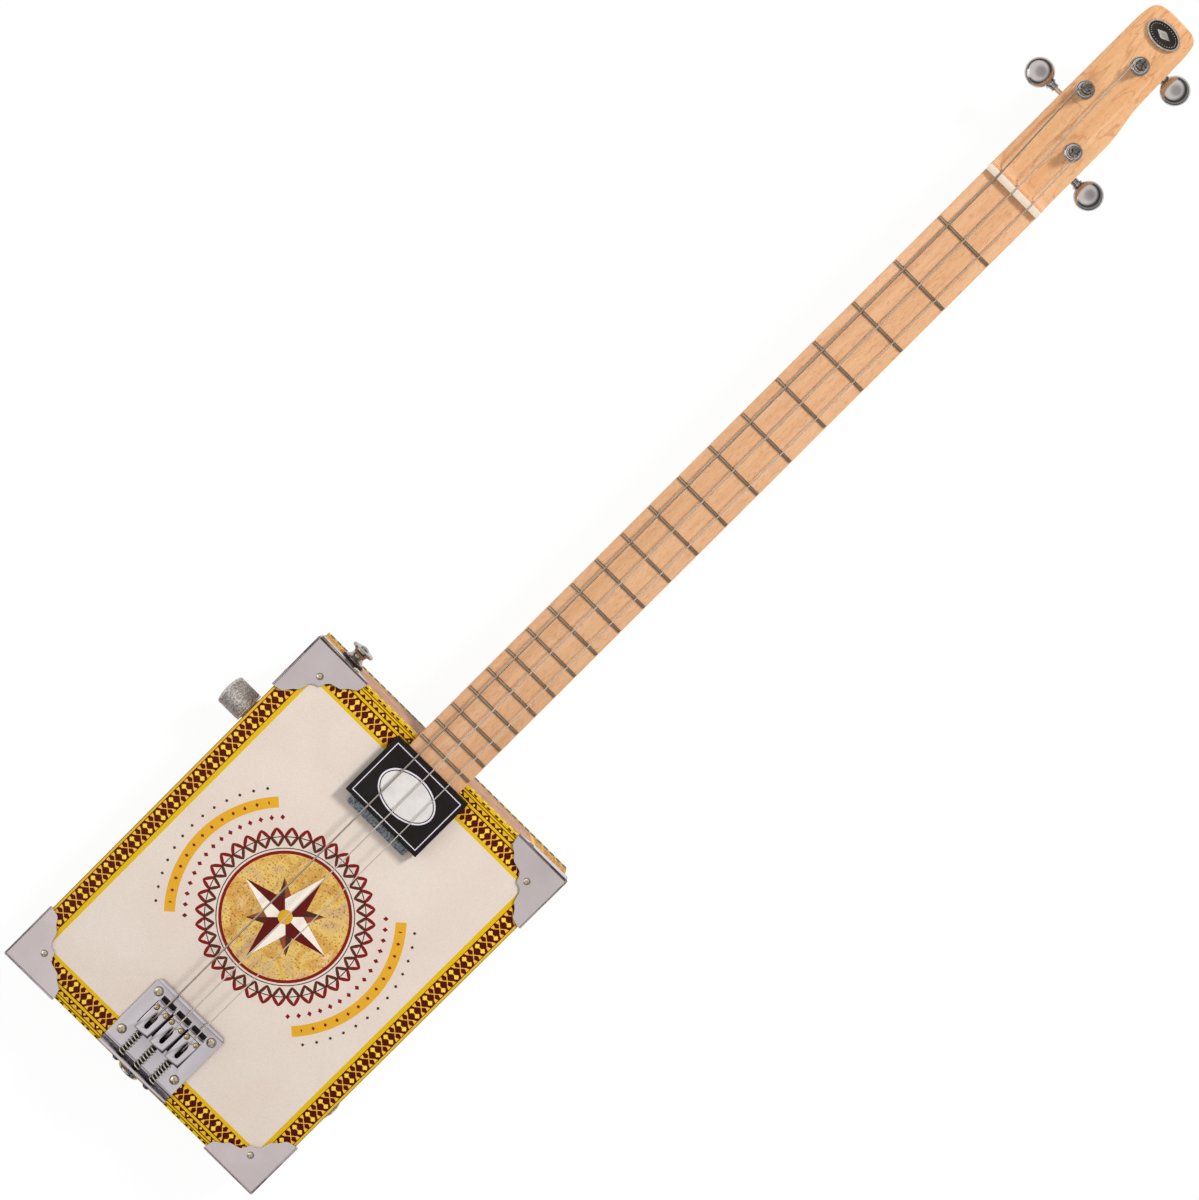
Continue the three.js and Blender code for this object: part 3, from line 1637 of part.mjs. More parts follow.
// A route's middle points: shares of the box's half width, half length and half depth
const pickupLeadShares = [
  [0.2526, 0.758, 1.2174],
  [0.1684, 0.7258, 0.7826],
  [-0.1053, 0.6774, 0.6522],
  [-0.4737, 0.5968, 0.6957],
  [-0.7158, 0.5484, 0.8261],
];
const outputLeadShares = [
  [-0.6947, 0.4839, 1],
  [-0.5263, 0.371, 0.5217],
  [-0.3158, 0.0806, 0.3478],
  [0.1053, -0.2419, 0.3478],
  [0.4632, -0.4516, 0.4348],
];

// Beside the jack a lead goes in steps from the jack's axis towards the tail end.
const outputLeadByJackShares = [[0.6, 0, 0.6957]];
const groundLeadByJackShares = [
  [0.8211, 1.3, 0.7391],
  [0.6105, 2.7, 0.6087],
  [0.3789, 4.7, 0.6957],
  [0.2474, 5.5, 1.1304],
];
const leadPoints = (shares) =>
  shares.map(([a, b, c]) => [a * halfWidth, b * halfLength, c * midZ]);
const leadPointsByJack = (shares) =>
  shares.map(([a, b, c]) => [a * halfWidth, jackY - b * groundFromJackAxis, c * midZ]);

const potLeadX = -halfWidth + wallThickness + potLength + 2 * fitGap;
const flangeLeadX = halfWidth - wallThickness - jackFlangeThickness - 2 * fitGap;
const contactLeadX = flangeLeadX + jackFlangeThickness / 2 - jackContactLength;
const pickupLeadRoute = [
  [pickupLeadX, pickupMidY, faceZ + leadUnderPickup],
  [pickupLeadX, pickupMidY, lidUnderZ - leadBelowLid],
  ...leadPoints(pickupLeadShares),
  [potLeadX, controlY + leadFromPotAxis, midZ - leadFromPotAxis],
];
const outputLeadRoute = [
  [potLeadX, controlY - leadFromPotAxis, midZ + leadFromPotAxis],
  ...leadPoints(outputLeadShares),
  ...leadPointsByJack(outputLeadByJackShares),
  [contactLeadX, jackY, midZ - jackContactOffset + leadOverContact],
];
const groundLeadRoute = [
  [flangeLeadX, jackY - groundFromJackAxis, midZ - groundFromJackAxis],
  ...leadPointsByJack(groundLeadByJackShares),
  [groundLeadX, groundLeadY, lidUnderZ - leadBelowLid],
  [groundLeadX, groundLeadY, faceZ - fitGap],
];

place('pickup_lead', makeLead(pickupLeadRoute), leadPlastic);
place('output_lead', makeLead(outputLeadRoute), leadPlastic);
place('ground_lead', makeLead(groundLeadRoute), leadPlastic);

export default guitar;
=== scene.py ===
"""The looks of a three-string cigar box guitar, laid over its CAD frame."""
import math
import bmesh
import bpy
from mathutils import Matrix, Vector


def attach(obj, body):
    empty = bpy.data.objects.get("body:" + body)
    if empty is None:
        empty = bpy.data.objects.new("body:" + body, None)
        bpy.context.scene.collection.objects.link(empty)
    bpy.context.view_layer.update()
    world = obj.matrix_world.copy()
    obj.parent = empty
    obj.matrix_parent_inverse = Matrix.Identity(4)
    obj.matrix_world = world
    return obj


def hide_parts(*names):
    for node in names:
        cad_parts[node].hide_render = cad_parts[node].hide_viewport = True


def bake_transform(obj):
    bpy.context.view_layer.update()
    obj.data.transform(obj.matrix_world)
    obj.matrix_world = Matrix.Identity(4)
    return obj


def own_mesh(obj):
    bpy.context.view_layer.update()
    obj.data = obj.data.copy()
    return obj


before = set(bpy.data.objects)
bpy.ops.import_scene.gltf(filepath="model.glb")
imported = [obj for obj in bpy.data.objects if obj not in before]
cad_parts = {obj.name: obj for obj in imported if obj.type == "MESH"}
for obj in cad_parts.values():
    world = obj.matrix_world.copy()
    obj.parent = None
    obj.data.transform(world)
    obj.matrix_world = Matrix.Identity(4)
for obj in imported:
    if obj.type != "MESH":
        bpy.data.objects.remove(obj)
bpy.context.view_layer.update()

# Lengths are in millimetres, and each piece is scaled to metres when it is placed. X runs to
# the treble side, Y from the tail to the headstock, and Z up from the box's back.
MM = 0.001

# The box, with its middle at X 0 and Y 0
half_width, half_length, box_depth = 95.0, 124.0, 46.0
mid_z, board_thickness = box_depth / 2, 4.0

# Neck, fretboard and nut
half_neck, neck_depth, headstock_under = 19.0, 18.0, 32.0
stick_under, stick_top = 28.0, 42.0
board_start, board_top, nut_seat = 118.0, 51.5, 48.5
nut_front, nut_back, nut_top = 561.8, 565.8, 54.1
cove_start, cove_length = 567.8, 6.0
headstock_tip = 691.8
scale_length = 635.0

# Strings and their posts, from bass to treble
string_radii = {"bass": 0.55, "middle": 0.42, "treble": 0.32}
nut_places = {"bass": -12.0, "middle": 0.0, "treble": 12.0}
bridge_places = {"bass": -11.7, "middle": 0.0, "treble": 11.7}
post_places = {"bass": (-11.21, 630.06), "middle": (0.703, 659.54), "treble": (8.094, 601.84)}
post_turns = {"bass": math.pi, "middle": 0.0, "treble": 0.0}
worm_sides = {"bass": 1, "middle": 1, "treble": -1}
winding_sides = {"bass": -1, "middle": -1, "treble": 1}
post_foot, post_waist = 48.1, 2.6

# Bridge and saddles
half_bridge, bridge_corner = 25.5, 2.0
bridge_rear, bridge_front, bridge_top = -120.5, -72.7, 47.8
lip_front, lip_top = -118.7, 55.8
saddle_rear, saddle_front = -101.0, -80.4
tab_front, ridge_rear = -99.4, -82.0
saddle_foot, saddle_under, saddle_top, ridge_top = 48.8, 54.1, 55.7, 56.4
screw_height, screw_hole = 51.7, 1.65
string_hole, string_hole_radius = -93.8, 1.5

# What the walls carry
knob_y, jack_y = 65.0, -64.5


# ---- Mesh helpers -------------------------------------------------------------------------

def joined(*shapes):
    """Several shapes as one."""
    whole = bmesh.new()
    for shape in shapes:
        mesh = bpy.data.meshes.new("part")
        shape.to_mesh(mesh)
        shape.free()
        whole.from_mesh(mesh)
        bpy.data.meshes.remove(mesh)
    return whole


def tidied(shape):
    """A shape with its doubled points merged and its faces turned outwards."""
    bmesh.ops.remove_doubles(shape, verts=shape.verts, dist=0.002)
    bmesh.ops.recalc_face_normals(shape, faces=shape.faces)
    return shape


def slab(points, low, high):
    """A flat plate with this outline, from one height to another."""
    shape = bmesh.new()
    corners = [shape.verts.new((x, y, low)) for x, y in points]
    made = bmesh.ops.extrude_face_region(shape, geom=[shape.faces.new(corners)])
    raised = [v for v in made["geom"] if isinstance(v, bmesh.types.BMVert)]
    bmesh.ops.translate(shape, verts=raised, vec=(0, 0, high - low))
    return tidied(shape)


def angles(sweep, steps):
    """Even angles from 0 to the whole sweep."""
    return [sweep * step / steps for step in range(steps + 1)]


def rectangle(half_x, half_y, centre=(0.0, 0.0)):
    """The corners of a rectangle about its centre."""
    cx, cy = centre
    return [(cx - half_x, cy - half_y), (cx + half_x, cy - half_y),
            (cx + half_x, cy + half_y), (cx - half_x, cy + half_y)]


def oval(half_x, half_y, centre=(0.0, 0.0), steps=64):
    """An ellipse's outline about its centre."""
    cx, cy = centre
    return [(cx + half_x * math.cos(angle), cy + half_y * math.sin(angle))
            for angle in angles(math.tau, steps)[:-1]]


def block(low, high):
    """A bar with square corners."""
    (x0, y0, z0), (x1, y1, z1) = low, high
    return slab([(x0, y0), (x1, y0), (x1, y1), (x0, y1)], z0, z1)


def along_x(points, half):
    """A bar with this outline in Y and Z, that reaches as far to both sides of X 0."""
    shape = slab([(y, z) for y, z in points], -half, half)
    turn = Matrix(((0, 0, 1, 0), (1, 0, 0, 0), (0, 1, 0, 0), (0, 0, 0, 1)))
    bmesh.ops.transform(shape, matrix=turn, verts=shape.verts)
    return tidied(shape)


def turned(profile, steps=32):
    """A round part about Z, from its half profile of radius and height."""
    shape = bmesh.new()
    verts = [shape.verts.new((radius, 0, height)) for radius, height in profile]
    edges = [shape.edges.new(pair) for pair in zip(verts, verts[1:])]
    bmesh.ops.spin(
        shape, geom=verts + edges, cent=(0, 0, 0), axis=(0, 0, 1), dvec=(0, 0, 0),
        angle=math.tau, steps=steps, use_merge=True, use_duplicate=False,
    )
    return tidied(shape)


def round_bar(radius, low, high, steps=20):
    """A plain round bar about Z, often a drill for a hole."""
    return turned([(0, low), (radius, low), (radius, high), (0, high)], steps)


def aimed(shape, at, direction=(0, 0, 1), turn=0.0, size=1.0):
    """A shape drawn about Z, moved to a point and turned to look along a direction."""
    facing = Vector((0, 0, 1)).rotation_difference(Vector(direction)).to_matrix().to_4x4()
    spin = Matrix.Rotation(turn, 4, "Z") @ Matrix.Scale(size, 4)
    bmesh.ops.transform(shape, matrix=Matrix.Translation(at) @ facing @ spin, verts=shape.verts)
    return shape


def softened(shape, width, segments=2, angle=30.0):
    """A shape with its sharp edges rounded, as tools and moulds leave them."""
    least = math.radians(angle)
    sharp = [e for e in shape.edges if len(e.link_faces) == 2 and e.calc_face_angle(0) > least]
    bmesh.ops.bevel(
        shape, geom=sharp, offset=width, offset_type="OFFSET", segments=segments, profile=0.5,
        affect="EDGES", material=-1, clamp_overlap=True,
    )
    return tidied(shape)


def as_object(shape):
    """A shape as a plain object, for a modifier to work on."""
    mesh = bpy.data.meshes.new("part")
    shape.to_mesh(mesh)
    shape.free()
    body = bpy.data.objects.new("part", mesh)
    bpy.context.collection.objects.link(body)
    return body


def as_shape(body):
    """An object's finished mesh as a shape. The object is used up."""
    ready = body.evaluated_get(bpy.context.evaluated_depsgraph_get())
    mesh = bpy.data.meshes.new_from_object(ready)
    shape = bmesh.new()
    shape.from_mesh(mesh)
    bpy.data.meshes.remove(mesh)
    bpy.data.objects.remove(body)
    return shape


def carved(shape, *tools):
    """A shape with each of these tools cut out of it."""
    body = as_object(shape)
    cutters = [as_object(tool) for tool in tools]
    for cutter in cutters:
        cut = body.modifiers.new("cut", "BOOLEAN")
        cut.operation = "DIFFERENCE"
        cut.solver = "EXACT"
        cut.object = cutter
    result = as_shape(body)
    for cutter in cutters:
        bpy.data.objects.remove(cutter)
    return tidied(result)


def tube(points, radius, sides=8, flowing=False):
    """A wire through these points, or a flowing cable that they guide."""
    curve = bpy.data.curves.new("wire", "CURVE")
    curve.dimensions = "3D"
    curve.bevel_depth = radius
    curve.bevel_resolution = sides // 2 - 2
    curve.use_fill_caps = True
    spline = curve.splines.new("NURBS" if flowing else "POLY")
    spline.points.add(len(points) - 1)
    for point, at in zip(spline.points, points):
        point.co = (*at, 1)
    if flowing:
        spline.order_u = 4
        spline.use_endpoint_u = True
        spline.resolution_u = 6
    wire = bpy.data.objects.new("wire", curve)
    bpy.context.collection.objects.link(wire)
    shape = as_shape(wire)
    bpy.data.curves.remove(curve)
    return tidied(shape)


def flowing_line(points, steps=6):
    """A smooth line through points of two or three numbers."""
    line = []
    ends = [points[0], *points, points[-1]]
    for before, start, stop, after in zip(ends, ends[1:], ends[2:], ends[3:]):
        for step in range(steps):
            t = step / steps
            line.append(tuple(
                0.5 * (2 * b + (c - a) * t + (2 * a - 5 * b + 4 * c - d) * t * t
                       + (3 * b - a - 3 * c + d) * t ** 3)
                for a, b, c, d in zip(before, start, stop, after)
            ))
    return [*line, tuple(points[-1])]


def place(name, shape, body, finish, stands_for=(), angle=32.0):
    """Makes a shape, drawn in millimetres, one piece of the guitar."""
    bmesh.ops.scale(tidied(shape), vec=(MM, MM, MM), verts=shape.verts)
    mesh = bpy.data.meshes.new(name)
    shape.to_mesh(mesh)
    shape.free()
    mesh.shade_smooth()
    mesh.set_sharp_from_angle(angle=math.radians(angle))
    mesh.materials.append(finish)
    piece = bpy.data.objects.new(name, mesh)
    bpy.context.collection.objects.link(piece)
    if body:
        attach(piece, body)
    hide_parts(*([stands_for] if isinstance(stands_for, str) else stands_for))
    return piece


# ---- Finishes -----------------------------------------------------------------------------

def linear(hex_colour):
    """An sRGB hex colour as the linear values that a shader takes."""
    parts = [int(hex_colour[i:i + 2], 16) / 255 for i in (1, 3, 5)]
    curve = [c / 12.92 if c <= 0.04045 else ((c + 0.055) / 1.055) ** 2.4 for c in parts]
    return (*curve, 1.0)


def add(tree, kind, inputs=None, stops=(), **settings):
    """Adds a node with its settings and ramp stops; an input given as a node is linked."""
    node = tree.nodes.new("ShaderNode" + kind)
    for name, value in settings.items():
        setattr(node, name, value)
    for name, value in (inputs or {}).items():
        found = [s for s in node.inputs if s.name == name and s.enabled]
        socket = found[0] if found else node.inputs[name]
        if isinstance(value, bpy.types.Node):
            value = next(s for s in value.outputs if s.enabled)
        if isinstance(value, bpy.types.NodeSocket):
            tree.links.new(value, socket)
        else:
            socket.default_value = value
    for number, (at, colour) in enumerate(stops):
        elements = node.color_ramp.elements
        stop = elements[number] if number < 2 else elements.new(at)
        stop.position = at
        stop.color = linear(colour)
    return node


def new_finish(name, colour, roughness, metallic=0.0, extras=None):
    """A material with one surface shader, whose own sockets hold what is the same all over."""
    material = bpy.data.materials.new(name)
    material.use_nodes = True
    shader = material.node_tree.nodes["Principled BSDF"]
    same_all_over = {
        "Base Color": linear(colour), "Roughness": roughness, "Metallic": metallic,
        **(extras or {}),
    }
    for socket, value in same_all_over.items():
        shader.inputs[socket].default_value = value
    return material, material.node_tree, shader


def patches(tree, sizes, detail=3.0, distortion=0.0, shift=(0, 0, 0)):
    """Noise whose patches are about these sizes along X, Y and Z, in millimetres."""
    spread = add(tree, "Mapping", {
        "Vector": add(tree, "TexCoord").outputs["Object"],
        "Location": shift,
        "Scale": tuple(1 / (size * MM) for size in sizes),
    })
    return add(tree, "TexNoise", {
        "Vector": spread, "Scale": 1.0, "Detail": detail, "Distortion": distortion,
    })


def place_in_mm(tree):
    """The place on a piece in millimetres, as X, Y and Z."""
    scaled = add(tree, "VectorMath", {
        "Vector": add(tree, "TexCoord").outputs["Object"], "Scale": 1 / MM}, operation="SCALE")
    return add(tree, "SeparateXYZ", {"Vector": scaled}).outputs


def dressed(tree, shader, ink, texture, relief, strength=1.0, gloss=None):
    """Gives a shader its colour, and a texture's relief in millimetres and range of gloss."""
    tree.links.new(next(s for s in ink.outputs if s.enabled), shader.inputs["Base Color"])
    if gloss:
        spread = add(tree, "MapRange", {"Value": texture, "To Min": gloss[0], "To Max": gloss[1]})
        tree.links.new(spread.outputs["Result"], shader.inputs["Roughness"])
    bump = add(tree, "Bump", {"Height": texture, "Distance": relief * MM, "Strength": strength})
    tree.links.new(bump.outputs["Normal"], shader.inputs["Normal"])


def worked(name, colours, roughness, metallic=0.0, patch=(8, 8, 8), grain=(0.5, 0.5, 0.5),
           swing=0.06, relief=0.004, extras=None):
    """A finish of two near colours in soft patches, with a fine grain in its gloss and relief."""
    material, tree, shader = new_finish(name, colours[0], roughness, metallic, extras)
    drift = patches(tree, patch)
    tone = add(tree, "ValToRGB", {"Fac": drift}, stops=((0.35, colours[0]), (0.7, colours[1])))
    fine = patches(tree, grain, detail=2.0)
    dressed(tree, shader, tone, fine, relief, gloss=(roughness - swing, roughness + swing))
    return material


def four_leaf(tree, across, along, reach, radius):
    """A mask of four round leaves that meet at a point of the print."""
    side = add(tree, "Math", {0: across}, operation="ABSOLUTE")
    up = add(tree, "Math", {0: along}, operation="ABSOLUTE")
    far = add(tree, "Math", {0: side, 1: up}, operation="MAXIMUM")
    near = add(tree, "Math", {0: side, 1: up}, operation="MINIMUM")
    out = add(tree, "Math", {0: far, 1: reach}, operation="SUBTRACT")
    gap = add(tree, "VectorMath", {"Vector": add(tree, "CombineXYZ", {"X": out, "Y": near})},
              operation="LENGTH")
    return add(tree, "Math", {0: gap, 1: radius}, operation="LESS_THAN")


def printed(tree, under, mask, ink):
    """Ink over what is printed so far, wherever the mask is 1. Either is a hex colour or a
    print."""
    under, ink = [linear(one) if isinstance(one, str) else one for one in (under, ink)]
    return add(tree, "Mix", {"Factor": mask, "A": under, "B": ink}, data_type="RGBA")


# The borders' inks
yellow_ink, gold_ink, maroon_ink = "#DAB212", "#DDAF2A", "#4C0B05"


def lattice(tree, under, across, along, half, reach):
    """The borders' lattice on maroon: crossing gold wings with clovers between them, and pairs of
    yellow flowers. Across is the distance from the border's middle line, up to its reach. Along
    is the distance from a flower pair, and half that from one to the next pair of clovers."""
    gold, yellow = "#ECB436", "#F7CE3E"
    side = add(tree, "Math", {0: across}, operation="ABSOLUTE")
    near = add(tree, "Math", {0: side, 1: 2.3}, operation="MINIMUM")
    lean = add(tree, "Math", {0: near, 1: 0.84, 2: -half}, operation="MULTIPLY_ADD")
    off = add(tree, "Math", {0: add(tree, "Math", {0: along, 1: lean}, operation="ADD")},
              operation="ABSOLUTE")
    wide = add(tree, "Math", {0: add(tree, "Math", {0: side, 1: 2.0}, operation="MAXIMUM"),
                              1: 0.42, 2: -0.5}, operation="MULTIPLY_ADD")
    thick = add(tree, "Math", {0: wide, 1: 0.34}, operation="MAXIMUM")
    ground = printed(tree, under, add(tree, "Math", {0: off, 1: thick}, operation="LESS_THAN"),
                     gold)
    out = add(tree, "Math", {0: side, 1: -2.07}, operation="ADD")
    last = add(tree, "Math", {0: along, 1: -half}, operation="ADD")
    ground = printed(tree, ground, four_leaf(tree, out, last, 0.62, 0.72), maroon_ink)
    ground = printed(tree, ground, four_leaf(tree, out, along, 0.72, 0.74), yellow)
    stem = add(tree, "Math", {0: add(tree, "Math", {0: side, 1: 0.8}, operation="LESS_THAN"),
                              1: add(tree, "Math", {0: along, 1: 0.3}, operation="LESS_THAN")},
               operation="MULTIPLY")
    ground = printed(tree, ground, stem, gold)
    inside = add(tree, "Math", {0: across, 1: 0.0, 2: reach}, operation="COMPARE")
    return printed(tree, under, inside, ground)


def roundel(tree, under, x, y):
    """The lid's centre print: a compass star on a speckled ochre disc, in a wreath of leaves,
    between two pairs of arcs."""
    disc_radius, wreath_radius, leaves = 36.0, 45.0, 36
    radius = add(tree, "VectorMath", {"Vector": add(tree, "CombineXYZ", {"X": x, "Y": y})},
                 operation="LENGTH")
    angle = add(tree, "Math", {0: y, 1: x}, operation="ARCTAN2")
    speckle = patches(tree, (1.1, 1.1, 1.1), detail=4.0)
    clouds = patches(tree, (16, 16, 16), detail=3.0, distortion=0.8)
    disc_ink = add(tree, "ValToRGB", {"Fac": clouds}, stops=(
        (0.3, "#C9A27A"), (0.72, "#E9C98F"), (0.46, "#E3BF6A"), (0.6, "#CF9A4A")))
    spots = add(tree, "ValToRGB", {"Fac": speckle}, stops=((0.55, "#FFFFFF"), (0.66, "#7A4A34")))
    disc_ink = add(tree, "Mix", {"Factor": 0.7, "A": disc_ink, "B": spots},
                   data_type="RGBA", blend_type="MULTIPLY")
    in_disc = add(tree, "Math", {0: radius, 1: disc_radius}, operation="LESS_THAN")
    ground = printed(tree, under, in_disc, disc_ink)

    # A ring of two lines round the disc
    for middle, half, colour in ((36.4, 0.9, "#7E1512"), (38.6, 0.28, "#3A211A")):
        off = add(tree, "Math", {0: radius, 1: middle, 2: half}, operation="COMPARE")
        ground = printed(tree, ground, off, colour)

    # The star: long points on the quarters and shorter ones between, each half light, half dark
    for points, long, narrow, tints in (
        (8, 22.0, 0.36, ("#4A2A20", "#8C4A2C")),
        (4, 31.0, 0.30, ("#F2E9DC", "#5E1210")),
    ):
        step = math.tau / points
        fold = add(tree, "Math", {0: angle, 1: step / 2}, operation="PINGPONG")
        across = add(tree, "Math", {0: radius, 1: add(tree, "Math", {0: fold}, operation="SINE")},
                     operation="MULTIPLY")
        along = add(tree, "Math", {0: radius, 1: add(tree, "Math", {0: fold}, operation="COSINE")},
                    operation="MULTIPLY")
        edge = add(tree, "Math", {0: along, 1: -narrow, 2: long * narrow},
                   operation="MULTIPLY_ADD")
        inside = add(tree, "Math", {0: across, 1: edge}, operation="LESS_THAN")
        turn = add(tree, "Math", {0: angle, 1: math.tau}, operation="ADD")
        turn = add(tree, "Math", {0: turn, 1: step}, operation="MODULO")
        lit = add(tree, "Math", {0: turn, 1: step / 2}, operation="LESS_THAN")
        ground = printed(tree, ground, inside, printed(tree, tints[1], lit, tints[0]))
    boss = add(tree, "Math", {0: radius, 1: 4.2}, operation="LESS_THAN")
    ground = printed(tree, ground, boss, "#D8A52C")

    # The wreath: two rows of slanting leaves that meet in points, with a thin stem between them
    for row, lean, colour in ((1, 0.62, "#7C1814"), (-1, -0.62, "#5A2A1E")):
        fold = add(tree, "Math", {0: angle, 1: math.pi / leaves}, operation="PINGPONG")
        arc = add(tree, "Math", {0: fold, 1: wreath_radius, 2: -1.9}, operation="MULTIPLY_ADD")
        out = add(tree, "Math", {0: radius, 1: wreath_radius + 2.4 * row}, operation="SUBTRACT")
        slant = add(tree, "Math", {0: out, 1: lean, 2: arc}, operation="MULTIPLY_ADD")
        long = add(tree, "Math", {0: out, 1: 0.38}, operation="MULTIPLY")
        gap = add(tree, "VectorMath", {"Vector": add(tree, "CombineXYZ", {"X": slant, "Y": long})},
                  operation="LENGTH")
        leaf = add(tree, "Math", {0: gap, 1: 1.15}, operation="LESS_THAN")
        ground = printed(tree, ground, leaf, colour)
    stem = add(tree, "Math", {0: radius, 1: wreath_radius, 2: 0.3}, operation="COMPARE")
    ground = printed(tree, ground, stem, "#3A211A")

    # On the left and the right, arcs of lozenges with a gold ribbon between them. Each has the
    # radius of its middle, its half width, the lozenges' length and width, and its half sweep.
    side = add(tree, "Math", {0: x}, operation="ABSOLUTE")
    turn = add(tree, "Math", {0: y, 1: side}, operation="ARCTAN2")
    reach = add(tree, "Math", {0: turn}, operation="ABSOLUTE")
    fold = add(tree, "Math", {0: turn, 1: 0.055}, operation="PINGPONG")
    for middle, half, long, wide, sweep, colour in (
        (56.0, 1.0, 2.2, 2.6, 0.82, "#7E1512"), (64.5, 3.1, 0.0, 0.0, 0.74, "#DDA52A"),
        (64.5, 1.0, 1.6, 2.0, 0.66, "#7A1A12"), (72.5, 1.0, 1.7, 1.7, 0.7, "#4A2E28"),
    ):
        out = add(tree, "Math", {0: radius, 1: middle}, operation="SUBTRACT")
        out = add(tree, "Math", {0: out}, operation="ABSOLUTE")
        if long:
            arc = add(tree, "Math", {0: fold, 1: middle / long}, operation="MULTIPLY")
            out = add(tree, "Math", {0: out, 1: 1 / wide, 2: arc}, operation="MULTIPLY_ADD")
        shape = add(tree, "Math", {0: out, 1: half if not long else 0.62}, operation="LESS_THAN")
        within = add(tree, "Math", {0: reach, 1: sweep}, operation="LESS_THAN")
        shape = add(tree, "Math", {0: shape, 1: within}, operation="MULTIPLY")
        ground = printed(tree, ground, shape, colour)
    return ground


def coated_paper():
    """Printed paper pasted on the lid: a soft sheen, faint fibres and slightly uneven ink."""
    material, tree, shader = new_finish("coated_printed_paper", "#E5D6CA", 0.42,
                                        extras={"Specular IOR Level": 0.15})
    x, y, z = place_in_mm(tree)
    side = add(tree, "Math", {0: x}, operation="ABSOLUTE")
    end = add(tree, "Math", {0: y}, operation="ABSOLUTE")
    cream = add(tree, "ValToRGB", {"Fac": patches(tree, (45, 45, 45))},
                stops=((0.3, "#DBCBBF"), (0.7, "#E1D3C8")))

    # Stripes of the short borders and then of the long ones, from the middle outwards, on ramps
    # that end past the lid's edge
    short_border, long_border = 105.4, 81.4
    stripes = {
        "end": (end, 130.0, ((0.0, "#E5D6CA"), (short_border, yellow_ink), (107.35, maroon_ink),
                             (116.15, yellow_ink), (117.55, maroon_ink), (118.0, gold_ink),
                             (120.35, maroon_ink), (120.7, yellow_ink), (121.6, maroon_ink),
                             (121.9, yellow_ink))),
        "side": (side, 100.0, ((0.0, "#E5D6CA"), (long_border, yellow_ink), (84.3, maroon_ink),
                               (93.2, gold_ink), (94.3, "#8A7420"))),
    }
    bands = {}
    for name, (reach, ramp_end, stops) in stripes.items():
        share = add(tree, "Math", {0: reach, 1: ramp_end}, operation="DIVIDE")
        bands[name] = add(tree, "ValToRGB", {"Fac": share},
                          stops=[(at / ramp_end, colour) for at, colour in stops])
        bands[name].color_ramp.interpolation = "CONSTANT"

    # The short border: its lattice, then a row of small and large peaks, and a line of dashes
    half = 5.05
    across = add(tree, "Math", {0: end, 1: -111.75}, operation="ADD")
    along = add(tree, "Math", {0: add(tree, "Math", {0: x, 1: 5.3}, operation="ADD"), 1: half},
                operation="PINGPONG")
    short = lattice(tree, bands["end"], across, along, half, 4.0)
    in_row = add(tree, "Math", {0: end, 1: 119.2, 2: 1.2}, operation="COMPARE")
    rise = add(tree, "Math", {0: end, 1: -118.0}, operation="ADD")
    from_large = add(tree, "Math", {0: along, 1: -1.0, 2: half}, operation="MULTIPLY_ADD")
    large = add(tree, "Math", {0: add(tree, "Math", {0: from_large, 1: rise}, operation="ADD"),
                               1: 3.0}, operation="LESS_THAN")
    small = add(tree, "Math", {0: add(tree, "Math", {0: along, 1: rise}, operation="ADD"),
                               1: 2.0}, operation="LESS_THAN")
    for peak in (large, small):
        short = printed(tree, short, add(tree, "Math", {0: peak, 1: in_row},
                                         operation="MULTIPLY"), maroon_ink)
    core = four_leaf(tree, add(tree, "Math", {0: rise, 1: -0.7}, operation="ADD"), from_large,
                     0.3, 0.38)
    short = printed(tree, short, core, "#F6CE52")
    dashes = add(tree, "Math", {0: add(tree, "Math", {0: along, 1: 1.9, 2: 1.1},
                                       operation="COMPARE"),
                                1: add(tree, "Math", {0: end, 1: 123.1, 2: 0.5},
                                       operation="COMPARE")}, operation="MULTIPLY")
    short = printed(tree, short, dashes, maroon_ink)

    # The long border, which runs past the short one at the corners
    half = 5.18
    across = add(tree, "Math", {0: side, 1: -88.85}, operation="ADD")
    along = add(tree, "Math", {0: add(tree, "Math", {0: y, 1: -2.0}, operation="ADD"), 1: half},
                operation="PINGPONG")
    long = lattice(tree, bands["side"], across, along, half, 4.1)
    is_long = add(tree, "Math", {0: side, 1: long_border}, operation="GREATER_THAN")
    border = printed(tree, short, is_long, long)

    # The centre print inside both, and the walls' paper over the lid's edges
    past_end = add(tree, "Math", {0: end, 1: short_border}, operation="GREATER_THAN")
    on_border = add(tree, "Math", {0: is_long, 1: past_end}, operation="MAXIMUM")
    ink = printed(tree, roundel(tree, cream, x, y), on_border, border)
    on_top = add(tree, "Math", {0: z, 1: box_depth - 0.25}, operation="GREATER_THAN")
    ink = printed(tree, wall_print(tree, x, y, z), on_top, ink)

    # Uneven ink, a dot screen too fine to draw at its true size, and the fibres' relief
    screen = patches(tree, (0.7, 0.7, 0.7), detail=2.0)
    shade = add(tree, "ValToRGB", {"Fac": screen}, stops=((0.3, "#E9E4DE"), (0.62, "#FFFFFF")))
    ink = add(tree, "Mix", {"Factor": 0.4, "A": ink, "B": shade}, data_type="RGBA",
              blend_type="MULTIPLY")
    fibres = patches(tree, (0.5, 2.4, 0.5), detail=4.0)
    dressed(tree, shader, ink, fibres, 0.02, strength=0.6, gloss=(0.34, 0.52))
    return material


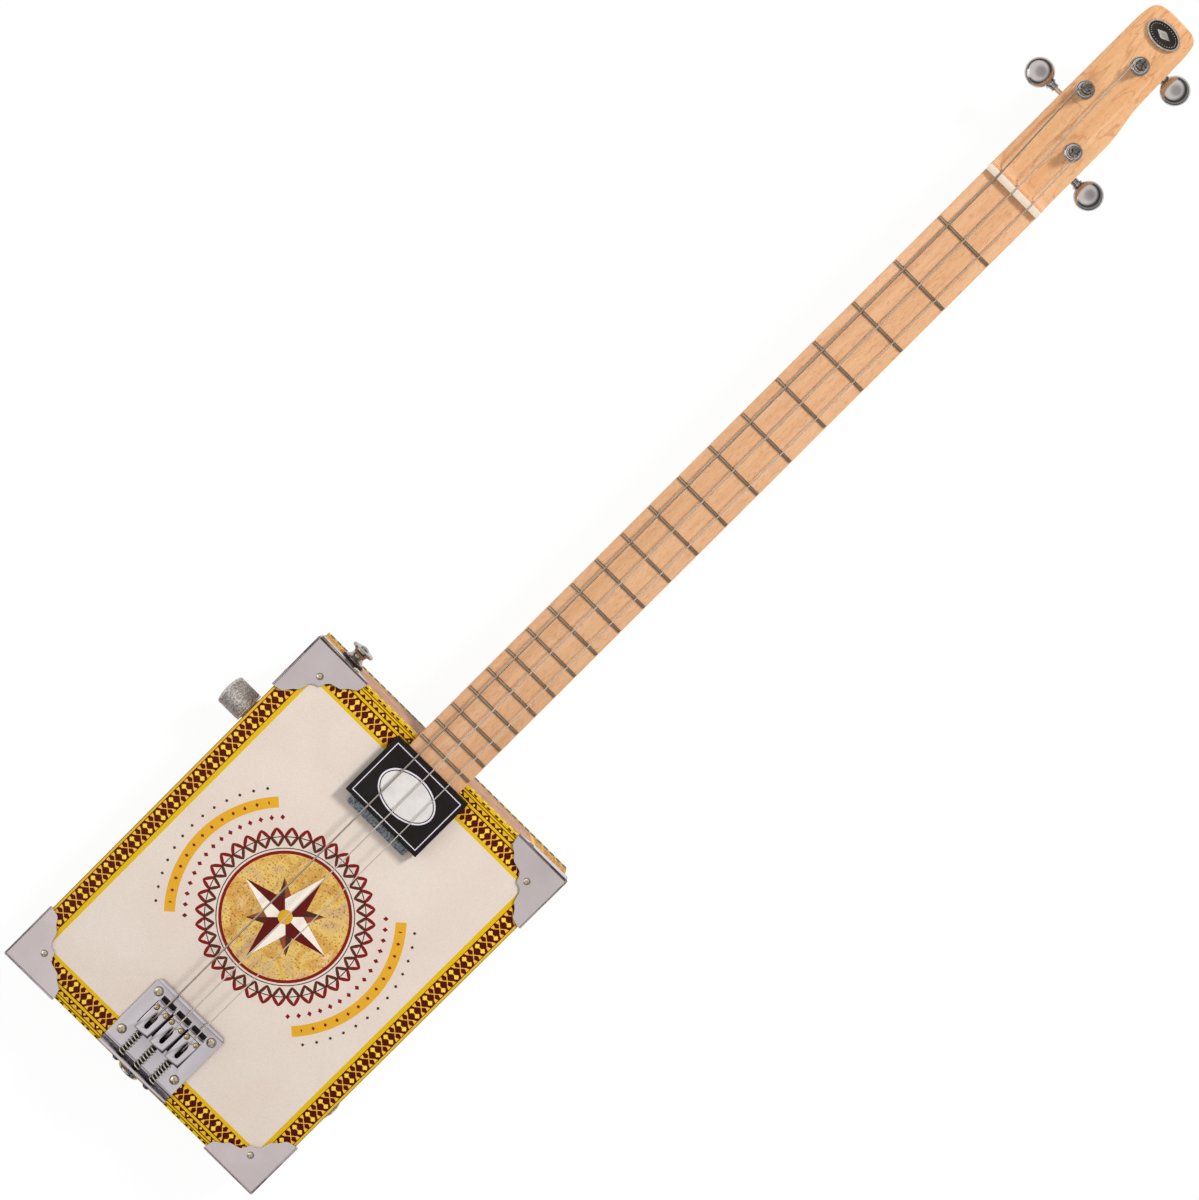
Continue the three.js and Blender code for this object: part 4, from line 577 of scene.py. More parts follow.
def wall_print(tree, x, y, z):
    """The paper round the walls: gold strips with maroon dashes along both edges, pinkish brown
    with fine lines between them, and brown and gold scrolls at the corners of the box's ends."""
    strip_start, ramp_end = 15.0, 25.0
    depth = add(tree, "Math", {0: z, 1: -mid_z}, operation="ADD")
    depth = add(tree, "Math", {0: depth}, operation="ABSOLUTE")
    ruled = add(tree, "Math", {0: add(tree, "Math", {0: z, 1: 0.9}, operation="PINGPONG"),
                               1: 0.22}, operation="LESS_THAN")
    clouds = add(tree, "ValToRGB", {"Fac": patches(tree, (9, 9, 5), detail=3.0)},
                 stops=((0.35, "#B08468"), (0.65, "#C69A80")))
    ground = printed(tree, clouds, ruled, "#8E6450")

    # Past a leaning yellow strip, the panel of scrolls
    side = add(tree, "Math", {0: x}, operation="ABSOLUTE")
    leaning = add(tree, "Math", {0: z, 1: 0.16, 2: 66.0}, operation="MULTIPLY_ADD")
    beyond = add(tree, "Math", {0: side, 1: leaning}, operation="SUBTRACT")
    is_end = add(tree, "Math", {0: add(tree, "Math", {0: y}, operation="ABSOLUTE"),
                                1: half_length - 0.5}, operation="GREATER_THAN")
    scrolls = add(tree, "ValToRGB", {"Fac": patches(tree, (5, 5, 5), detail=1.5, distortion=2.5)},
                  stops=((0.44, "#B5762E"), (0.56, "#D9A93A"), (0.5, "#6E3418")))
    in_panel = add(tree, "Math", {0: add(tree, "Math", {0: beyond, 1: 0.0},
                                         operation="GREATER_THAN"), 1: is_end},
                   operation="MULTIPLY")
    ground = printed(tree, ground, in_panel, scrolls)
    in_strip = add(tree, "Math", {0: add(tree, "Math", {0: beyond, 1: 0.0, 2: 1.3},
                                         operation="COMPARE"), 1: is_end}, operation="MULTIPLY")
    ground = printed(tree, ground, in_strip, "#E2B22C")

    # The strips along the edges
    share = add(tree, "Math", {0: depth, 1: ramp_end}, operation="DIVIDE")
    edge = add(tree, "ValToRGB", {"Fac": share}, stops=[
        (at / ramp_end, colour) for at, colour in (
            (0.0, "#000000"), (strip_start, maroon_ink), (15.5, "#DDB82A"), (22.4, "#5C3A12"))])
    edge.color_ramp.interpolation = "CONSTANT"
    on_edge = add(tree, "Math", {0: depth, 1: strip_start}, operation="GREATER_THAN")
    strip = printed(tree, ground, on_edge, edge)
    run = add(tree, "Math", {0: x, 1: y}, operation="ADD")
    fold = add(tree, "Math", {0: run, 1: 2.5}, operation="PINGPONG")
    dash = add(tree, "Math", {0: add(tree, "Math", {0: fold, 1: 1.25}, operation="LESS_THAN"),
                              1: add(tree, "Math", {0: depth, 1: 19.0, 2: 1.0},
                                     operation="COMPARE")}, operation="MULTIPLY")
    strip = printed(tree, strip, dash, maroon_ink)

    # Along the back edge, dark brown with short yellow dashes
    strip = printed(tree, strip, add(tree, "Math", {0: z, 1: 6.5}, operation="LESS_THAN"),
                    "#4A3514")
    short = add(tree, "Math", {0: add(tree, "Math", {0: fold, 1: 0.9}, operation="LESS_THAN"),
                               1: add(tree, "Math", {0: z, 1: 5.0}, operation="LESS_THAN")},
                operation="MULTIPLY")
    return printed(tree, strip, short, "#C9A52E")


def wrapped_paper():
    """The printed paper round the box's walls, duller than the lid's and rubbed in places."""
    material, tree, shader = new_finish("wrapped_wall_paper", "#B98A6C", 0.55,
                                        extras={"Specular IOR Level": 0.2})
    ink = wall_print(tree, *place_in_mm(tree))
    wear = add(tree, "ValToRGB", {"Fac": patches(tree, (7, 7, 7), detail=5.0)},
               stops=((0.3, "#E4DAD0"), (0.6, "#FFFFFF")))
    ink = add(tree, "Mix", {"Factor": 0.8, "A": ink, "B": wear}, data_type="RGBA",
              blend_type="MULTIPLY")
    fibres = patches(tree, (0.6, 0.6, 0.6), detail=4.0)
    dressed(tree, shader, ink, fibres, 0.03, strength=0.7)
    return material


def lacquered_maple(name, tones, streaks, streak_colour, roughness, coat):
    """Maple under lacquer: long soft grain along the neck, pores, and mineral streaks."""
    material, tree, shader = new_finish(name, tones[0], roughness,
                                        extras={"Coat Weight": coat, "Coat Roughness": 0.12})
    broad = patches(tree, (5.5, 120, 5.5), detail=4.0, distortion=0.5)
    colour = add(tree, "ValToRGB", {"Fac": broad},
                 stops=((0.3, tones[0]), (0.72, tones[2]), (0.5, tones[1])))
    contour = patches(tree, (10, 46, 10), detail=2.5, distortion=0.9, shift=(3.1, 0.7, 0))
    band = add(tree, "ValToRGB", {"Fac": contour}, stops=(
        (0.485, "#FFFFFF"), (0.56, "#FFFFFF"), (0.5, streak_colour), (0.506, streak_colour),
        (0.53, "#FFFFFF")))
    colour = add(tree, "Mix", {"Factor": streaks, "A": colour, "B": band}, data_type="RGBA",
                 blend_type="MULTIPLY")
    pores = patches(tree, (0.4, 3.6, 0.4), detail=3.0)
    fleck = add(tree, "ValToRGB", {"Fac": pores}, stops=((0.52, "#FFFFFF"), (0.75, "#CFA27C")))
    colour = add(tree, "Mix", {"Factor": 0.6, "A": colour, "B": fleck}, data_type="RGBA",
                 blend_type="MULTIPLY")
    dressed(tree, shader, colour, pores, 0.015, strength=0.5,
            gloss=(roughness - 0.05, roughness + 0.1))
    return material


paper = coated_paper()
wall_paper = wrapped_paper()

# Bare sanded cedar: dull and reddish, with a straight soft grain
cedar = worked("sanded_cedar", ("#C49468", "#A97A50"), 0.6, patch=(3, 60, 3),
               grain=(0.5, 6, 0.5), relief=0.02)

# Maple under lacquer: warm and smooth, a soft shine over mineral streaks and long grain
maple = lacquered_maple("lacquered_maple", ("#E7AB75", "#EEB783", "#F6C595"), 0.36, "#B9824E",
                        0.36, 0.3)

# Oiled maple, planed flat: paler and duller than the neck, with fine even grain
board_maple = lacquered_maple("oiled_fretboard_maple", ("#DDA87A", "#E4B184", "#EABA90"),
                              0.15, "#C8976C", 0.45, 0.1)

# Polished bone: creamy, faintly see-through at its edges, with a low shine
bone = worked("polished_bone", ("#F0DDC9", "#E8D2BC"), 0.3, patch=(3, 3, 3),
              extras={"Subsurface Weight": 0.05})

# Satin nickel plate on pressed steel: blurred reflections in an even mauve grey
satin_sheet = worked("satin_plated_steel", ("#CABEBD", "#D1C6C5"), 0.25, 1.0, patch=(20, 20, 20),
                     grain=(0.4, 0.4, 0.4), relief=0.001)

# Polished chrome on bent sheet: a near mirror, broken only by faint lines of polishing
bridge_sheet = worked("polished_bridge_chrome", ("#C9C2C6", "#C0B9BE"), 0.12, 1.0,
                      patch=(6, 30, 6), grain=(0.8, 8, 0.8), swing=0.03, relief=0.0004)

# Polished nickel screws: warm, bright and a little yellow beside the chrome
nickel = worked("polished_nickel", ("#EDE3CE", "#DCD1BC"), 0.27, 1.0, patch=(2, 2, 2))

# Nickel between the springs' turns: dark with painted shade, with small glints on its thread
painted_shade_nickel = worked("nickel_thread_painted_shade", ("#3E3A36", "#56504A"), 0.35, 1.0, patch=(1, 1, 1))

# Bright chrome: a clean cold mirror
bright_chrome = worked("polished_chrome", ("#D4D2D4", "#C6C4C8"), 0.12, 1.0, patch=(6, 6, 6),
                       swing=0.03, relief=0.001)

# Drawn nickel silver, tarnished in use: brownish grey, with a soft streak of light
fret_wire = worked("tarnished_nickel_silver", ("#A5937F", "#B9A792"), 0.3, 0.9,
                   patch=(4, 1, 1), grain=(0.6, 0.3, 0.3))

# Turned bronze: small warm points of light
bronze = worked("turned_bronze", ("#C4A67A", "#DCC6A0"), 0.25, 1.0, patch=(1, 1, 1))

# Painted shade: a dull black sheet over the plate where the saddles shade it, and in their gaps
painted_shade_plate = worked("painted_shade_steel", ("#1E1C1B", "#2A2725"), 0.5, 0.4)

# Drawn spring steel: each round turn has its own bright line
spring_steel = worked("drawn_spring_steel", ("#F0EAE0", "#DFD3C2"), 0.4, 0.7, patch=(1, 1, 1),
                      grain=(0.2, 0.2, 0.2))

# Nickel wire wound on a core: greyer than plain wire, its fine winding blurs the shine
wound_wire = worked("wound_nickel_wire", ("#BDB2A4", "#CEC3B5"), 0.5, 1.0, patch=(1.2, 0.4, 1.2),
                    grain=(0.4, 0.25, 0.4), relief=0.03)

# Tinned steel wire: pale, with one thin line of light along it
plain_wire = worked("tinned_steel_wire", ("#DCD2C4", "#E4DBCE"), 0.45, 0.8, patch=(1, 6, 1))

# Chromed zinc buttons: cold and dark where they mirror the room, bright where the sky
button_chrome = worked("chromed_zinc", ("#D0CAC7", "#C0B9B6"), 0.16, 1.0, patch=(14, 14, 14),
                       swing=0.03, relief=0.001)

# Post nickel: dark and bright patches of painted reflection, a dark mirror with bright glints
post_nickel = worked("post_nickel_painted_reflection", ("#3C3836", "#B6AFA8"), 0.22, 1.0, patch=(1.3, 1.3, 1.3))

# Turned and chromed steel pegs: bright rims with dark waists
peg_chrome = worked("chromed_steel_peg", ("#B4ADA8", "#9C9590"), 0.2, 1.0, patch=(2, 2, 2))

# Moulded ABS, black and nearly matt, with the mould's fine texture
black_plastic = worked("moulded_black_abs", ("#15100F", "#1C1716"), 0.42, patch=(5, 5, 5),
                       grain=(0.35, 0.35, 0.35), relief=0.006,
                       extras={"Specular IOR Level": 0.2})

# Screen-printed white ink: flat and slightly blue
frame_paint = worked("white_screen_print", ("#E6E1EA", "#DAD5DE"), 0.45)

# Screen-printed pale grey ink, cloudy where it is thin
badge_paint = worked("pale_screen_print", ("#E3DEDA", "#D6D0CC"), 0.4)

# Speckled grey ABS: dark flecks, drawn coarser than the real ones so that they show
mottled_plastic = worked("speckled_grey_abs", ("#9AA2AA", "#2A2F34"), 0.55,
                         patch=(1.2, 1.2, 1.2), grain=(0.8, 0.8, 0.8), relief=0.05)

# Knurled chrome: painted shade and painted glints in fine flecks, an even sparkle, not a mirror
knob_chrome = worked("knurled_chrome_painted_glints", ("#958C86", "#FAF3EC"), 0.55, 0.7,
                     patch=(0.9, 0.9, 0.9))

# Pressed wool felt: black, soft and without shine
felt = worked("pressed_black_felt", ("#100F0F", "#1C1A1A"), 0.95, patch=(1, 1, 1),
              grain=(0.3, 0.3, 0.3), relief=0.15, extras={"Sheen Weight": 0.1})

# Cast pewter, rubbed bright on its high places and blackened in its field
pewter = worked("cast_pewter", ("#E2DACE", "#B9B0A5"), 0.3, 1.0, patch=(1.5, 1.5, 1.5))
dark_pewter = worked("blackened_pewter", ("#3C3836", "#544F4B"), 0.55, 0.8)

# Black vinyl on the leads: smooth, with a soft shine
lead_plastic = worked("black_vinyl", ("#201E1E", "#2C2A2A"), 0.45)


# ---- Screws -------------------------------------------------------------------------------

def cross_screw_head():
    """A domed head of radius 1 with two crossed grooves, about Z."""
    rim, rise = 0.06, 0.46
    dome = turned([(0, -0.15), (0.97, -0.15), (1, -0.08), (1, rim)]
                  + [(math.cos(angle), rim + rise * math.sin(angle))
                     for angle in (0.25, 0.5, 0.75, 1.0, 1.2, 1.4)] + [(0, rim + rise)], steps=28)
    slots = [aimed(along_x([(-0.3, 0.6), (0, 0.27), (0.3, 0.6)], 0.68), (0, 0, 0), turn=turn)
             for turn in (0, math.pi / 2)]
    return carved(dome, *slots)


screw_head = cross_screw_head()


def dome_screw(at, direction, radius, turn=0.4):
    """A copy of the domed head, seated on a surface and turned as the driver left it."""
    return aimed(screw_head.copy(), at, direction, turn, radius)


# ---- Box ----------------------------------------------------------------------------------

def box_outline(inset=0.0):
    """The box's outline, or one that lies this far inside it."""
    return rectangle(half_width - inset, half_length - inset)


paper_thickness = 0.15
lid = slab(box_outline(), box_depth - board_thickness, box_depth)
place("lid_board", softened(lid, 0.45, 3), "guitar", paper, "lid")
back = slab(box_outline(0.2), 0, board_thickness)
place("back_board", softened(back, 0.3, 3), "guitar", cedar, "back_panel")
back_edge = carved(slab(box_outline(), 0.3, board_thickness),
                   slab(box_outline(paper_thickness), -1, board_thickness + 1))
place("back_edge_paper", back_edge, "guitar", wall_paper, "back_panel")
for wall in ("side_bass", "side_treble", "end_neck", "end_tail"):
    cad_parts[wall].material_slots[0].material = wall_paper

# A protector's size, and half the outline of its face and of a flange as shares of the leg and
# of the flange's depth
leg, sheet, gap, flange_depth = 36.0, 0.8, 0.3, 13.86
protector_top = gap + sheet
face_shares = [(1, 0), (0.965, 0.15), (0.83, 0.24), (0.77, 0.32), (0.6, 0.365), (0.55, 0.41),
               (0.515, 0.515)]
flange_shares = [(1, 0), (0.965, 0.39), (0.74, 0.7), (0.66, 0.9), (0, 1)]
face_screw_inset, side_screw_along, protector_screw = 14.5, 26.5, 2.1


def corner_protector():
    """A pressed corner of sheet: a scalloped face and two flanges, with rounded bends."""
    outer = protector_top
    half = [(-a * leg, -b * leg) for a, b in face_shares]
    rim = half + [(y, x) for x, y in reversed(half[:-1])]
    corner = (outer, outer, outer)
    side = [(-a * leg, -b * flange_depth) for a, b in flange_shares]
    shape = bmesh.new()
    point = {}

    def vertex(x, y, z):
        key = (round(x, 4), round(y, 4), round(z, 4))
        point[key] = point.get(key) or shape.verts.new((x, y, z))
        return point[key]

    arm_x, arm_y = (-leg, outer, outer), (outer, -leg, outer)
    shape.faces.new([vertex(*corner), vertex(*arm_x)] + [vertex(x, y, outer) for x, y in rim]
                    + [vertex(*arm_y)])
    foot = (outer, outer, -flange_depth)
    shape.faces.new([vertex(*arm_x), vertex(*corner), vertex(*foot)]
                    + [vertex(a, outer, z) for a, z in reversed(side)])
    shape.faces.new([vertex(*corner), vertex(*arm_y)]
                    + [vertex(outer, a, z) for a, z in side] + [vertex(*foot)])
    bends = [e for e in shape.edges if len(e.link_faces) == 2]
    rims = [v for v in shape.verts if not any(e in bends for e in v.link_edges)]
    bmesh.ops.bevel(shape, geom=rims, offset=1.1, offset_type="OFFSET", segments=3,
                    profile=0.5, affect="VERTICES", material=-1, clamp_overlap=True)
    bends = [e for e in shape.edges if len(e.link_faces) == 2]
    bmesh.ops.bevel(shape, geom=bends, offset=2.0, offset_type="OFFSET", segments=6,
                    profile=0.5, affect="EDGES", material=-1, clamp_overlap=True)
    bmesh.ops.recalc_face_normals(shape, faces=shape.faces)
    top = max(shape.faces, key=lambda f: f.calc_area())
    if top.normal.z < 0:
        bmesh.ops.reverse_faces(shape, faces=shape.faces)
    bmesh.ops.solidify(shape, geom=shape.faces, thickness=sheet)
    return softened(shape, 0.14, segments=2, angle=55)


protector = corner_protector()
corners = {"neck_treble": (1, 1), "neck_bass": (-1, 1), "tail_bass": (-1, -1),
           "tail_treble": (1, -1)}
for number, (corner, (sx, sy)) in enumerate(corners.items()):
    side_screw_height = -flange_depth / 2
    screws = joined(
        dome_screw((-face_screw_inset, -face_screw_inset, protector_top), (0, 0, 1),
                   protector_screw, 0.3 + number),
        dome_screw((-side_screw_along, protector_top, side_screw_height), (0, 1, 0),
                   protector_screw, 1.2 * number),
        dome_screw((protector_top, -side_screw_along, side_screw_height), (1, 0, 0),
                   protector_screw, 0.5 + number),
    )
    plate = protector.copy()
    at = Matrix.Translation((sx * half_width, sy * half_length, box_depth))
    pose = at @ Matrix.Rotation(number * math.pi / 2, 4, "Z")
    node = f"protector_front_{corner}"
    for shape in (plate, screws):
        bmesh.ops.transform(shape, matrix=pose, verts=shape.verts)
    place(f"{node}_sheet", plate, "guitar", satin_sheet, node, angle=40)
    place(f"{node}_screws", screws, "guitar", nickel, node)

# ---- Neck and fretboard -------------------------------------------------------------------

# Half a section of the shaft, as shares of half its width and of its depth
neck_shares = flowing_line([(1, 0), (1, 0.3), (0.93, 0.58), (0.76, 0.8), (0.45, 0.95), (0, 1)], 3)

# The headstock's outline, as shares of half its width and of its length
head_shares = [(1, 0), (0.995, 0.414), (0.953, 0.477), (0.88, 0.541), (0.82, 0.604),
               (0.795, 0.704), (0.775, 0.81), (0.763, 0.898), (0.735, 0.94), (0.67, 0.972),
               (0.55, 0.99), (0.3, 0.999), (-0.35, 1), (-0.72, 0.992), (-0.88, 0.975),
               (-0.965, 0.945), (-1, 0.89), (-1, 0)]


def neck_shape():
    """The shaft drawn out along the neck into the headstock, and the stick through the box."""
    section = [(min(a, 1) * half_neck, -b * neck_depth) for a, b in neck_shares]
    section += [(-x, z) for x, z in reversed(section[:-1])]
    at, straight_end, transition = half_length + 0.2, 549.8, 24
    shaft = bmesh.new()
    ring = [shaft.verts.new((x, at, box_depth + z)) for x, z in section]
    end = shaft.faces.new(ring)
    depth = neck_depth
    thinner = neck_depth - (box_depth - headstock_under)
    steps = [(y, neck_depth) for y in (230, 340, 450, straight_end)]
    steps += [(straight_end + transition * t, neck_depth - thinner * t * t * (3 - 2 * t))
              for t in (0.2, 0.4, 0.6, 0.8, 1.0)]
    for y, deep in steps:
        made = bmesh.ops.extrude_face_region(shaft, geom=[end])["geom"]
        verts = [v for v in made if isinstance(v, bmesh.types.BMVert)]
        end = next(f for f in made if isinstance(f, bmesh.types.BMFace))
        bmesh.ops.translate(shaft, verts=verts, vec=(0, y - at, 0))
        bmesh.ops.scale(shaft, vec=(1, 1, deep / depth), verts=verts,
                        space=Matrix.Translation((0, 0, -box_depth)))
        depth, at = deep, y

    # The extrusions leave their old end faces inside the shaft
    inner = [f for f in shaft.faces if all(len(e.link_faces) > 2 for e in f.edges)]
    bmesh.ops.delete(shaft, geom=inner, context="FACES")
    outline = [(a * half_neck, nut_back + b * (headstock_tip - nut_back))
               for a, b in flowing_line(head_shares[1:-1], 4)]
    outline = [(half_neck, nut_back), *outline, (-half_neck, nut_back)]
    head = softened(slab(outline, headstock_under, box_depth), 1.1, 3, angle=50)
    stick = block((-half_neck, -118, stick_under), (half_neck, half_length + 0.4, stick_top))
    return joined(softened(shaft, 0.5, 2, angle=60), head, stick)


place("neck_and_headstock", neck_shape(), "guitar", maple, "neck", angle=28)

# The fretboard in profile, from the box to the cove behind the nut
cove_height = board_top - box_depth
cove = [(cove_start + cove_length * (1 - math.cos(a)), board_top - cove_height * math.sin(a))
        for a in angles(math.pi / 2, 10)]
board_line = [(board_start, box_depth), *reversed(cove), (nut_back, board_top),
              (nut_back, nut_seat), (nut_front, nut_seat), (nut_front, board_top),
              (board_start, board_top)]
place("fretboard_blank", softened(along_x(board_line, half_neck), 0.35, 2, angle=40), "guitar",
      board_maple, "fretboard")

# Each fret's place follows the scale, a twelfth of an octave apart
fret_count, fret_inset, fret_root = 20, 0.4, -0.1
crown = [(-1, fret_root), *[(-math.cos(a), math.sin(a)) for a in angles(math.pi, 10)],
         (1, fret_root)]
frets = []
for number in range(1, fret_count + 1):
    y = nut_front - scale_length * (1 - 2 ** (-number / 12))
    wire = along_x([(y + a, board_top + b) for a, b in crown], half_neck - fret_inset)
    frets.append(softened(wire, 0.25, 2, angle=60))
place("frets", joined(*frets), "guitar", fret_wire, "fretboard")

# The nut as seen along the neck, with a round slot for each string
nut_shoulder, slot_floor = 53.9, 53.45
nut_line = [(-half_neck, nut_seat), (-half_neck, nut_shoulder)]
for name, x in nut_places.items():
    r = string_radii[name] + 0.3
    nut_line += [(x - r - 0.1, nut_top)]
    nut_line += [(x + r * math.sin(a), slot_floor - r * math.cos(a) + r)
                 for a in (-1.5, -0.9, -0.3, 0.3, 0.9, 1.5)]
    nut_line += [(x + r + 0.1, nut_top)]
nut_line += [(half_neck, nut_shoulder), (half_neck, nut_seat)]
nut = slab(nut_line, -nut_back, -nut_front)
bmesh.ops.rotate(nut, cent=(0, 0, 0), matrix=Matrix.Rotation(math.pi / 2, 3, "X"),
                 verts=nut.verts)
place("nut_blank", softened(nut, 0.25, 2, angle=50), "guitar", bone, "nut")

# ---- Tuners -------------------------------------------------------------------------------

gear_z, plate_z, worm_offset = 27.6, 31.0, 7.7
gear_teeth, gear_radius, worm_radius = 14, 5.4, 2.3


def tuner_plate(hand):
    """The base plate with rounded corners and the two ears that carry the worm."""
    y0, y1 = sorted((-hand * 12.0, hand * 15.5))
    line = [(4, y0), (7, y0 + 3), (7, y1 - 3), (4, y1), (-4, y1), (-7, y1 - 3), (-7, y0 + 3),
            (-4, y0)]
    base = softened(slab(line, plate_z, headstock_under), 0.25, 2)
    ear_y, ear_half, ear_sheet = hand * worm_offset, 2.5, 1.1
    ears = [softened(block((x, ear_y - ear_half, 25.1), (x + ear_sheet, ear_y + ear_half, 31.5)),
                     0.45, 3) for x in (4.9, -6.0)]
    return joined(base, *ears)


def worm(hand):
    """The shaft with the thread that drives the gear."""
    shoulder = 4.6
    shaft = turned([(0, -7), (1.3, -7), (1.5, -6.8), (1.5, -shoulder), (1.35, -shoulder),
                    (1.35, shoulder), (1.5, shoulder), (1.5, 19), (0, 19)], 24)
    turns, per_turn, pitch = 2.5, 24, math.tau * gear_radius / gear_teeth
    phase = 0 if hand > 0 else math.pi
    path = []
    for step in range(int(turns * per_turn) + 1):
        around = (step - turns * per_turn / 2) / per_turn
        angle = math.tau * around + phase
        path.append((around * pitch, 2.1 * math.cos(angle), 2.1 * math.sin(angle)))
    thread = tube(path, 0.72, 8)
    whole = joined(aimed(shaft, (0, 0, 0), (1, 0, 0)), thread)
    bmesh.ops.translate(whole, vec=(0, hand * worm_offset, gear_z), verts=whole.verts)
    return whole


def button(hand):
    """The domed button on its ribbed stem."""
    centre, radius, half = 23.8, 8.3, 3.9
    rise = [(radius, 0), (radius, 1.2), (radius - 0.25, 1.5)]
    rise += [(a * radius, b * half) for a, b in flowing_line(
        [(0.95, 0.44), (0.84, 0.64), (0.64, 0.82), (0.36, 0.95), (0.0, 1.0)], 4)]
    fall = [(r, -z) for r, z in reversed(rise[1:])]
    disc = aimed(turned(fall + rise, 48), (centre, 0, 0))
    stem_start = 11.3
    ribs = [(0, stem_start), (2.2, stem_start)]
    for rib in range(3):
        start = stem_start + 1.0 * rib
        ribs += [(2.5, start + 0.15), (2.5, start + 0.7), (2.15, start + 0.85)]
    ribs += [(2.5, 14.4), (3.3, 14.45), (3.3, 15.4), (2.8, 16.0), (0, 16.9)]
    stem = aimed(turned(ribs, 32), (0, 0, 0), (1, 0, 0))
    whole = joined(disc, stem)
    bmesh.ops.translate(whole, vec=(0, hand * worm_offset, gear_z), verts=whole.verts)
    return whole


def gear():
    """The post's gear, whose teeth lean with the worm's thread."""
    root, tip, half_thickness = 4.45, 6.12, 1.5
    line = []
    for tooth in range(gear_teeth):
        middle = math.pi / 2 + math.tau * tooth / gear_teeth
        for radius, reach in ((root, -0.58), (tip, -0.3), (tip, 0.3), (root, 0.58)):
            angle = middle + reach / radius
            line.append((radius * math.cos(angle), radius * math.sin(angle)))
    wheel = softened(slab(line, gear_z - half_thickness, gear_z + half_thickness), 0.12, 1,
                     angle=60)
    lean = gear_radius / gear_teeth / worm_radius / gear_radius
    for vertex in wheel.verts:
        turn = Matrix.Rotation(lean * (vertex.co.z - gear_z), 3, "Z")
        vertex.co = turn @ vertex.co
    return wheel


def post():
    """The string post with its waist and cross hole, on its gear and gear screw."""
    line = [(0, 25.3), (1.9, 25.3), (2.2, 25.6), (2.2, 26.3), (3, 26.3), (3, 47.8), (2.6, 48.1),
            (2.6, 53.0), (3, 53.3), (3, 54.2), (2.75, 54.5), (2.3, 54.6), (0.5, 54.45), (0, 54.4)]
    rod = turned(line, 32)
    hole = aimed(round_bar(0.8, -5, 5, 16), (0, 0, 52.7), (1, 0, 0))
    slot = block((-1.5, -0.25, 24.9), (1.5, 0.25, 25.7))
    return joined(carved(rod, hole, slot), gear())


bushing_line = [(3.3, 40), (4.2, 40), (4.2, 46), (5.3, 46), (5.3, 46.5), (5.1, 46.8),
                (4.4, 47.4), (4.0, 47.5), (3.3, 47.5), (3.3, 40)]
for name, (x, y) in post_places.items():
    hand = worm_sides[name]
    pose = Matrix.Translation((x, y, 0)) @ Matrix.Rotation(post_turns[name], 4, "Z")
    plate_screws = joined(*[
        dome_screw((0, at, plate_z), (0, 0, -1), 1.7, 0.4) for at in (-hand * 9.0, hand * 12.5)])
    for piece, shape, body, slot, finish, node in (
        ("tuner_base", tuner_plate(hand), "guitar", "chrome", bright_chrome, "tuner_plate"),
        ("tuner_base_screws", plate_screws, "guitar", "chrome", nickel, "tuner_plate"),
        ("worm", worm(hand), "tuner", "nickel", nickel, "worm_shaft"),
        ("button", button(hand), "tuner", "chrome", button_chrome, "tuner_button"),
        ("post", post(), "post", "chrome", post_nickel, "tuner_post"),
        ("bushing", turned(bushing_line, 40), "guitar", "chrome", bright_chrome, "post_bushing"),
    ):
        bmesh.ops.transform(shape, matrix=pose, verts=shape.verts)
        rides = body if body == "guitar" else f"{body}_{name}"
        place(f"{piece}_{name}", shape, rides, finish, f"{node}_{name}")

# ---- Bridge and saddles -------------------------------------------------------------------

lip_holes = [aimed(round_bar(screw_hole, -4, 4), (x, bridge_rear, screw_height), (0, 1, 0))
             for x in bridge_places.values()]


def string_drills():
    """A drill for each string's way down."""
    return [aimed(round_bar(string_hole_radius, -4, 4), (x, string_hole, 47))
            for x in bridge_places.values()]


# The plate and its bent-up lip in profile, then the strip along the front with its cut corners
bend, strip_rear = 3, bridge_front - 2.2
inner_bend = [(lip_front + bend * (1 - math.cos(a)), bridge_top + bend * (1 - math.sin(a)))
              for a in angles(math.pi / 2, 8)]
bent = along_x([(bridge_rear, box_depth), (bridge_rear, lip_top), (lip_front, lip_top),
                *inner_bend, (strip_rear, bridge_top), (strip_rear, box_depth)], half_bridge)
plate = carved(bent, *lip_holes, *string_drills())
cut_rear, cut_x = bridge_front - bridge_corner, half_bridge - bridge_corner
front_edge = slab([(-half_bridge, strip_rear), (half_bridge, strip_rear),
                   (half_bridge, cut_rear), (cut_x, bridge_front), (-cut_x, bridge_front),
                   (-half_bridge, cut_rear)], box_depth, bridge_top)

# Painted shade: dark sheets over the plate under the saddles and just before them
under = bridge_top - 0.2
shade = softened(slab(rectangle(17.2, 8.6, (0, -91.6)), under, bridge_top + 0.15), 0.1, 1)
before_saddles = [softened(slab(rectangle(4.9, 2.3, (x, -80.9)), under, bridge_top + 0.12), 0.08, 1)
                  for x in bridge_places.values()]
place("bridge_painted_shade", joined(carved(shade, *string_drills()), *before_saddles), "guitar",
      painted_shade_plate, "bridge_plate")
place("bridge_plate_bent", joined(softened(plate, 0.4, 3, angle=50),
                                  softened(front_edge, 0.4, 3, angle=50)),
      "guitar", bridge_sheet, "bridge_plate")
place("bridge_screws", joined(*[
    dome_screw((x, y, bridge_top), (0, 0, 1), 2.9, turn)
    for x, y, turn in ((-20.5, -79.3, 0.5), (20.5, -79.3, 1.1), (-20.5, -109, 0.2),
                       (20.5, -109, 0.8))]),
    "guitar", nickel, "bridge_plate")


ridge_middle = (ridge_rear + saddle_front) / 2


